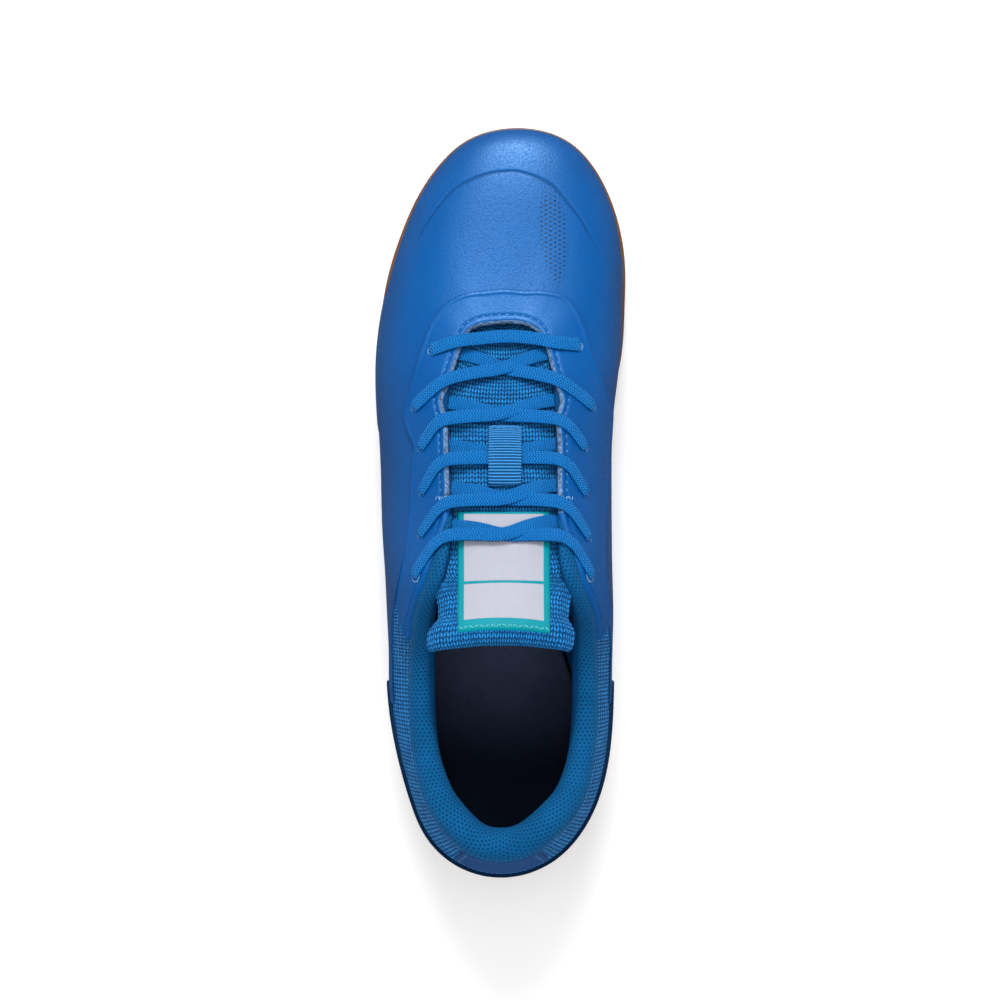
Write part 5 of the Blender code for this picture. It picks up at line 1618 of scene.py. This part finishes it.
class SHOE_OT_lace(bpy.types.Operator):
    """Flat braided lace: one bar at the toe and five crossings that run into their eyelets"""
    bl_idname = "shoe.lace"
    bl_label = "Lace"

    def execute(self, context):
        wide, thick = sizes().lace_width, sizes().lace_thick
        look = looks()
        coat = lace_coat("lace_braid", rgba(look.lace), shade(look.lace, 0.22))
        bar = Surface()
        points = [on_tongue(-0.0080, 0.0608, 0.0046), on_tongue(0.0025, 0.0618, 0.0050),
                  on_tongue(0.0130, 0.0610, 0.0046)]
        left = into_hole(13.50, 0.0008, 0, False)
        path = smooth_path(left[::-1] + points + into_hole(13.45, 0.0008, 0, True), 170)
        share = np.linspace(0.0, 1.0, len(path))
        narrow = 1.0 - 0.30 * np.maximum(step_up(share, 0.93, 1.0), step_up(-share, -0.07, 0.0))
        flat_run(bar, path, wide * narrow, thick)
        bar.finish("lace_toe_bar", [coat], ["lace_bar"])
        for number in range(len(EYELETS) - 1):
            pair = Surface()
            for to_right in (True, False):
                path = crossing(number, to_right)
                share = np.linspace(0.0, 1.0, len(path))
                narrow = 1.0 - 0.32 * step_up(share, 0.86, 0.96)
                narrow = narrow + 0.04 * np.sin(share * 9.0 + number * 1.7 + (2.0 if to_right else 0.0))
                flat_run(pair, path, wide * narrow, thick)
            pair.finish("lace_pair_%d" % (number + 1), [coat],
                        ["lace_cross_%d" % (number + 1)])
        return DONE


class SHOE_OT_insole(bpy.types.Operator):
    """Bare insole, rounded along its border"""
    bl_idname = "shoe.insole"
    bl_label = "Insole"

    def execute(self, context):
        u = STATIONS[::2]
        zero = np.zeros((len(u), 1))
        shape = skin(u, zero, -(wall(u, zero) + GAP))[0][:, 0]
        nx, ny = inward(u)
        rings = []
        for inset, height in ((0.0, 0.0), (0.0, 0.6), (0.0002, 0.8), (0.0007, 0.95), (0.0014, 1.0)):
            rings.append(stack(shape[:, 0] + nx * inset, shape[:, 1] + ny * inset,
                               bed_z(u) + GAP + INSOLE_THICKNESS * height))
        wall_grid = np.stack(rings, axis=1)
        surface = Surface()
        surface.grid(wall_grid, cloth_spots(wall_grid, wrap_rows=True), wrap_rows=True)
        for column, flip in ((0, True), (-1, False)):
            sheet = floor_between(wall_grid, column, HALF // 2, 30)
            surface.grid(sheet, sheet[..., :2].copy(), flip=flip)
        # fade 0.08 paints the insole darker toward the heel: painted shade deep in the shoe
        coat = cloth_coat("insole_cloth", rgba(looks().insole), 0.0009, 0.00012, 0.9, 0.3, 0.08)
        surface.finish("cloth_insole", [coat], ["insole"], merge=True)
        return DONE


# Camera: height above the floor, film width in millimetres, width seen per metre of distance
CAMERA_HEIGHT = 1.30
FILM = 36.0
FIELD = 0.3925 / 1.285
LIGHTS = (
    # name, place, aim, watts, diameter, seen in gloss, lights plain surfaces
    ("key", (-0.06, 1.05, 1.20), (0.0, 0.05, 0.03), 21.0, 0.70, True, True),
    ("toe", (0.03, 1.30, 0.55), (0.0, 0.12, 0.05), 36.0, 0.40, True, False),
    ("back", (0.10, -1.10, 0.95), (0.0, 0.0, 0.08), 5.0, 0.80, False, True),
    ("top", (0.0, 0.1, 2.2), (0.0, 0.0, 0.03), 32.0, 2.60, False, True),
)


class SHOE_OT_stage(bpy.types.Operator):
    """Pale floor, soft lights and the camera straight above, toe up"""
    bl_idname = "shoe.stage"
    bl_label = "Stage"

    def execute(self, context):
        scene = bpy.context.scene

        def place(name, data):
            made = bpy.data.objects.new(name, data)
            scene.collection.objects.link(made)
            return made

        mesh = bpy.data.meshes.new("floor")
        corners = [(-4.0, -4.0, 0.0), (4.0, -4.0, 0.0), (4.0, 4.0, 0.0), (-4.0, 4.0, 0.0)]
        mesh.from_pydata(corners, [], [(0, 1, 2, 3)])
        floor = place("floor", mesh)
        coat = Coat("pale_floor")
        tone = coat.place().noise(3.0).mix((0.80, 0.80, 0.80, 1.0), (0.84, 0.84, 0.84, 1.0))
        mesh.materials.append(coat.set(Base_Color=tone, Roughness=0.9, Emission_Strength=0.28,
                                       Emission_Color=(1.0, 1.0, 1.0, 1.0)))
        floor.visible_glossy = False
        scene.world = bpy.data.worlds.new("studio")
        scene.world.use_nodes = True
        back = scene.world.node_tree.nodes["Background"]
        back.inputs["Color"].default_value = (0.93, 0.96, 1.0, 1.0)
        back.inputs["Strength"].default_value = 0.13
        for name, spot, aim, power, size, glossy, diffuse in LIGHTS:
            light = bpy.data.lights.new(name, "AREA")
            light.shape = "DISK"
            light.size = size
            light.energy = power
            lamp = place(name, light)
            lamp.location = spot
            lamp.rotation_mode = "QUATERNION"
            lamp.rotation_quaternion = (Vector(spot) - Vector(aim)).to_track_quat("Z", "Y")
            lamp.visible_glossy = glossy
            lamp.visible_diffuse = diffuse
        sight = bpy.data.cameras.new("camera")
        sight.sensor_width = FILM
        sight.lens = FILM / FIELD
        camera = place("camera", sight)
        camera.location = (0.0, 0.0, CAMERA_HEIGHT)
        scene.camera = camera
        scene.view_settings.view_transform = "Standard"
        return DONE


STEPS = (SHOE_OT_outsole, SHOE_OT_upper, SHOE_OT_cover, SHOE_OT_saddle, SHOE_OT_overlays, SHOE_OT_collar,
         SHOE_OT_tongue, SHOE_OT_label, SHOE_OT_keeper, SHOE_OT_lace, SHOE_OT_insole, SHOE_OT_stage)


class SHOE_PT_panel(bpy.types.Panel):
    """Buttons for each piece of the shoe"""
    bl_idname = "SHOE_PT_panel"
    bl_label = "Indoor Soccer Shoe"
    bl_space_type = "VIEW_3D"
    bl_region_type = "UI"
    bl_category = "Shoe"

    def draw(self, context):
        column = self.layout.column(align=True)
        for step in STEPS:
            column.operator(step.bl_idname)
        for group in (context.scene.shoe_looks, context.scene.shoe_sizes):
            box = self.layout.box()
            for name in group.__annotations__:
                box.prop(group, name)


CLASSES = (ShoeLooks, ShoeSizes) + STEPS + (SHOE_PT_panel,)


def register():
    for made in CLASSES:
        bpy.utils.register_class(made)
    bpy.types.Scene.shoe_looks = bpy.props.PointerProperty(type=ShoeLooks)
    bpy.types.Scene.shoe_sizes = bpy.props.PointerProperty(type=ShoeSizes)


def unregister():
    del bpy.types.Scene.shoe_sizes
    del bpy.types.Scene.shoe_looks
    for made in reversed(CLASSES):
        bpy.utils.unregister_class(made)


def main():
    register()
    bpy.ops.shoe.outsole()
    bpy.ops.shoe.upper()
    bpy.ops.shoe.cover()
    bpy.ops.shoe.saddle()
    bpy.ops.shoe.overlays()
    bpy.ops.shoe.collar()
    bpy.ops.shoe.tongue()
    bpy.ops.shoe.label()
    bpy.ops.shoe.keeper()
    bpy.ops.shoe.lace()
    bpy.ops.shoe.insole()
    bpy.ops.shoe.stage()


if __name__ == "__main__":
    main()
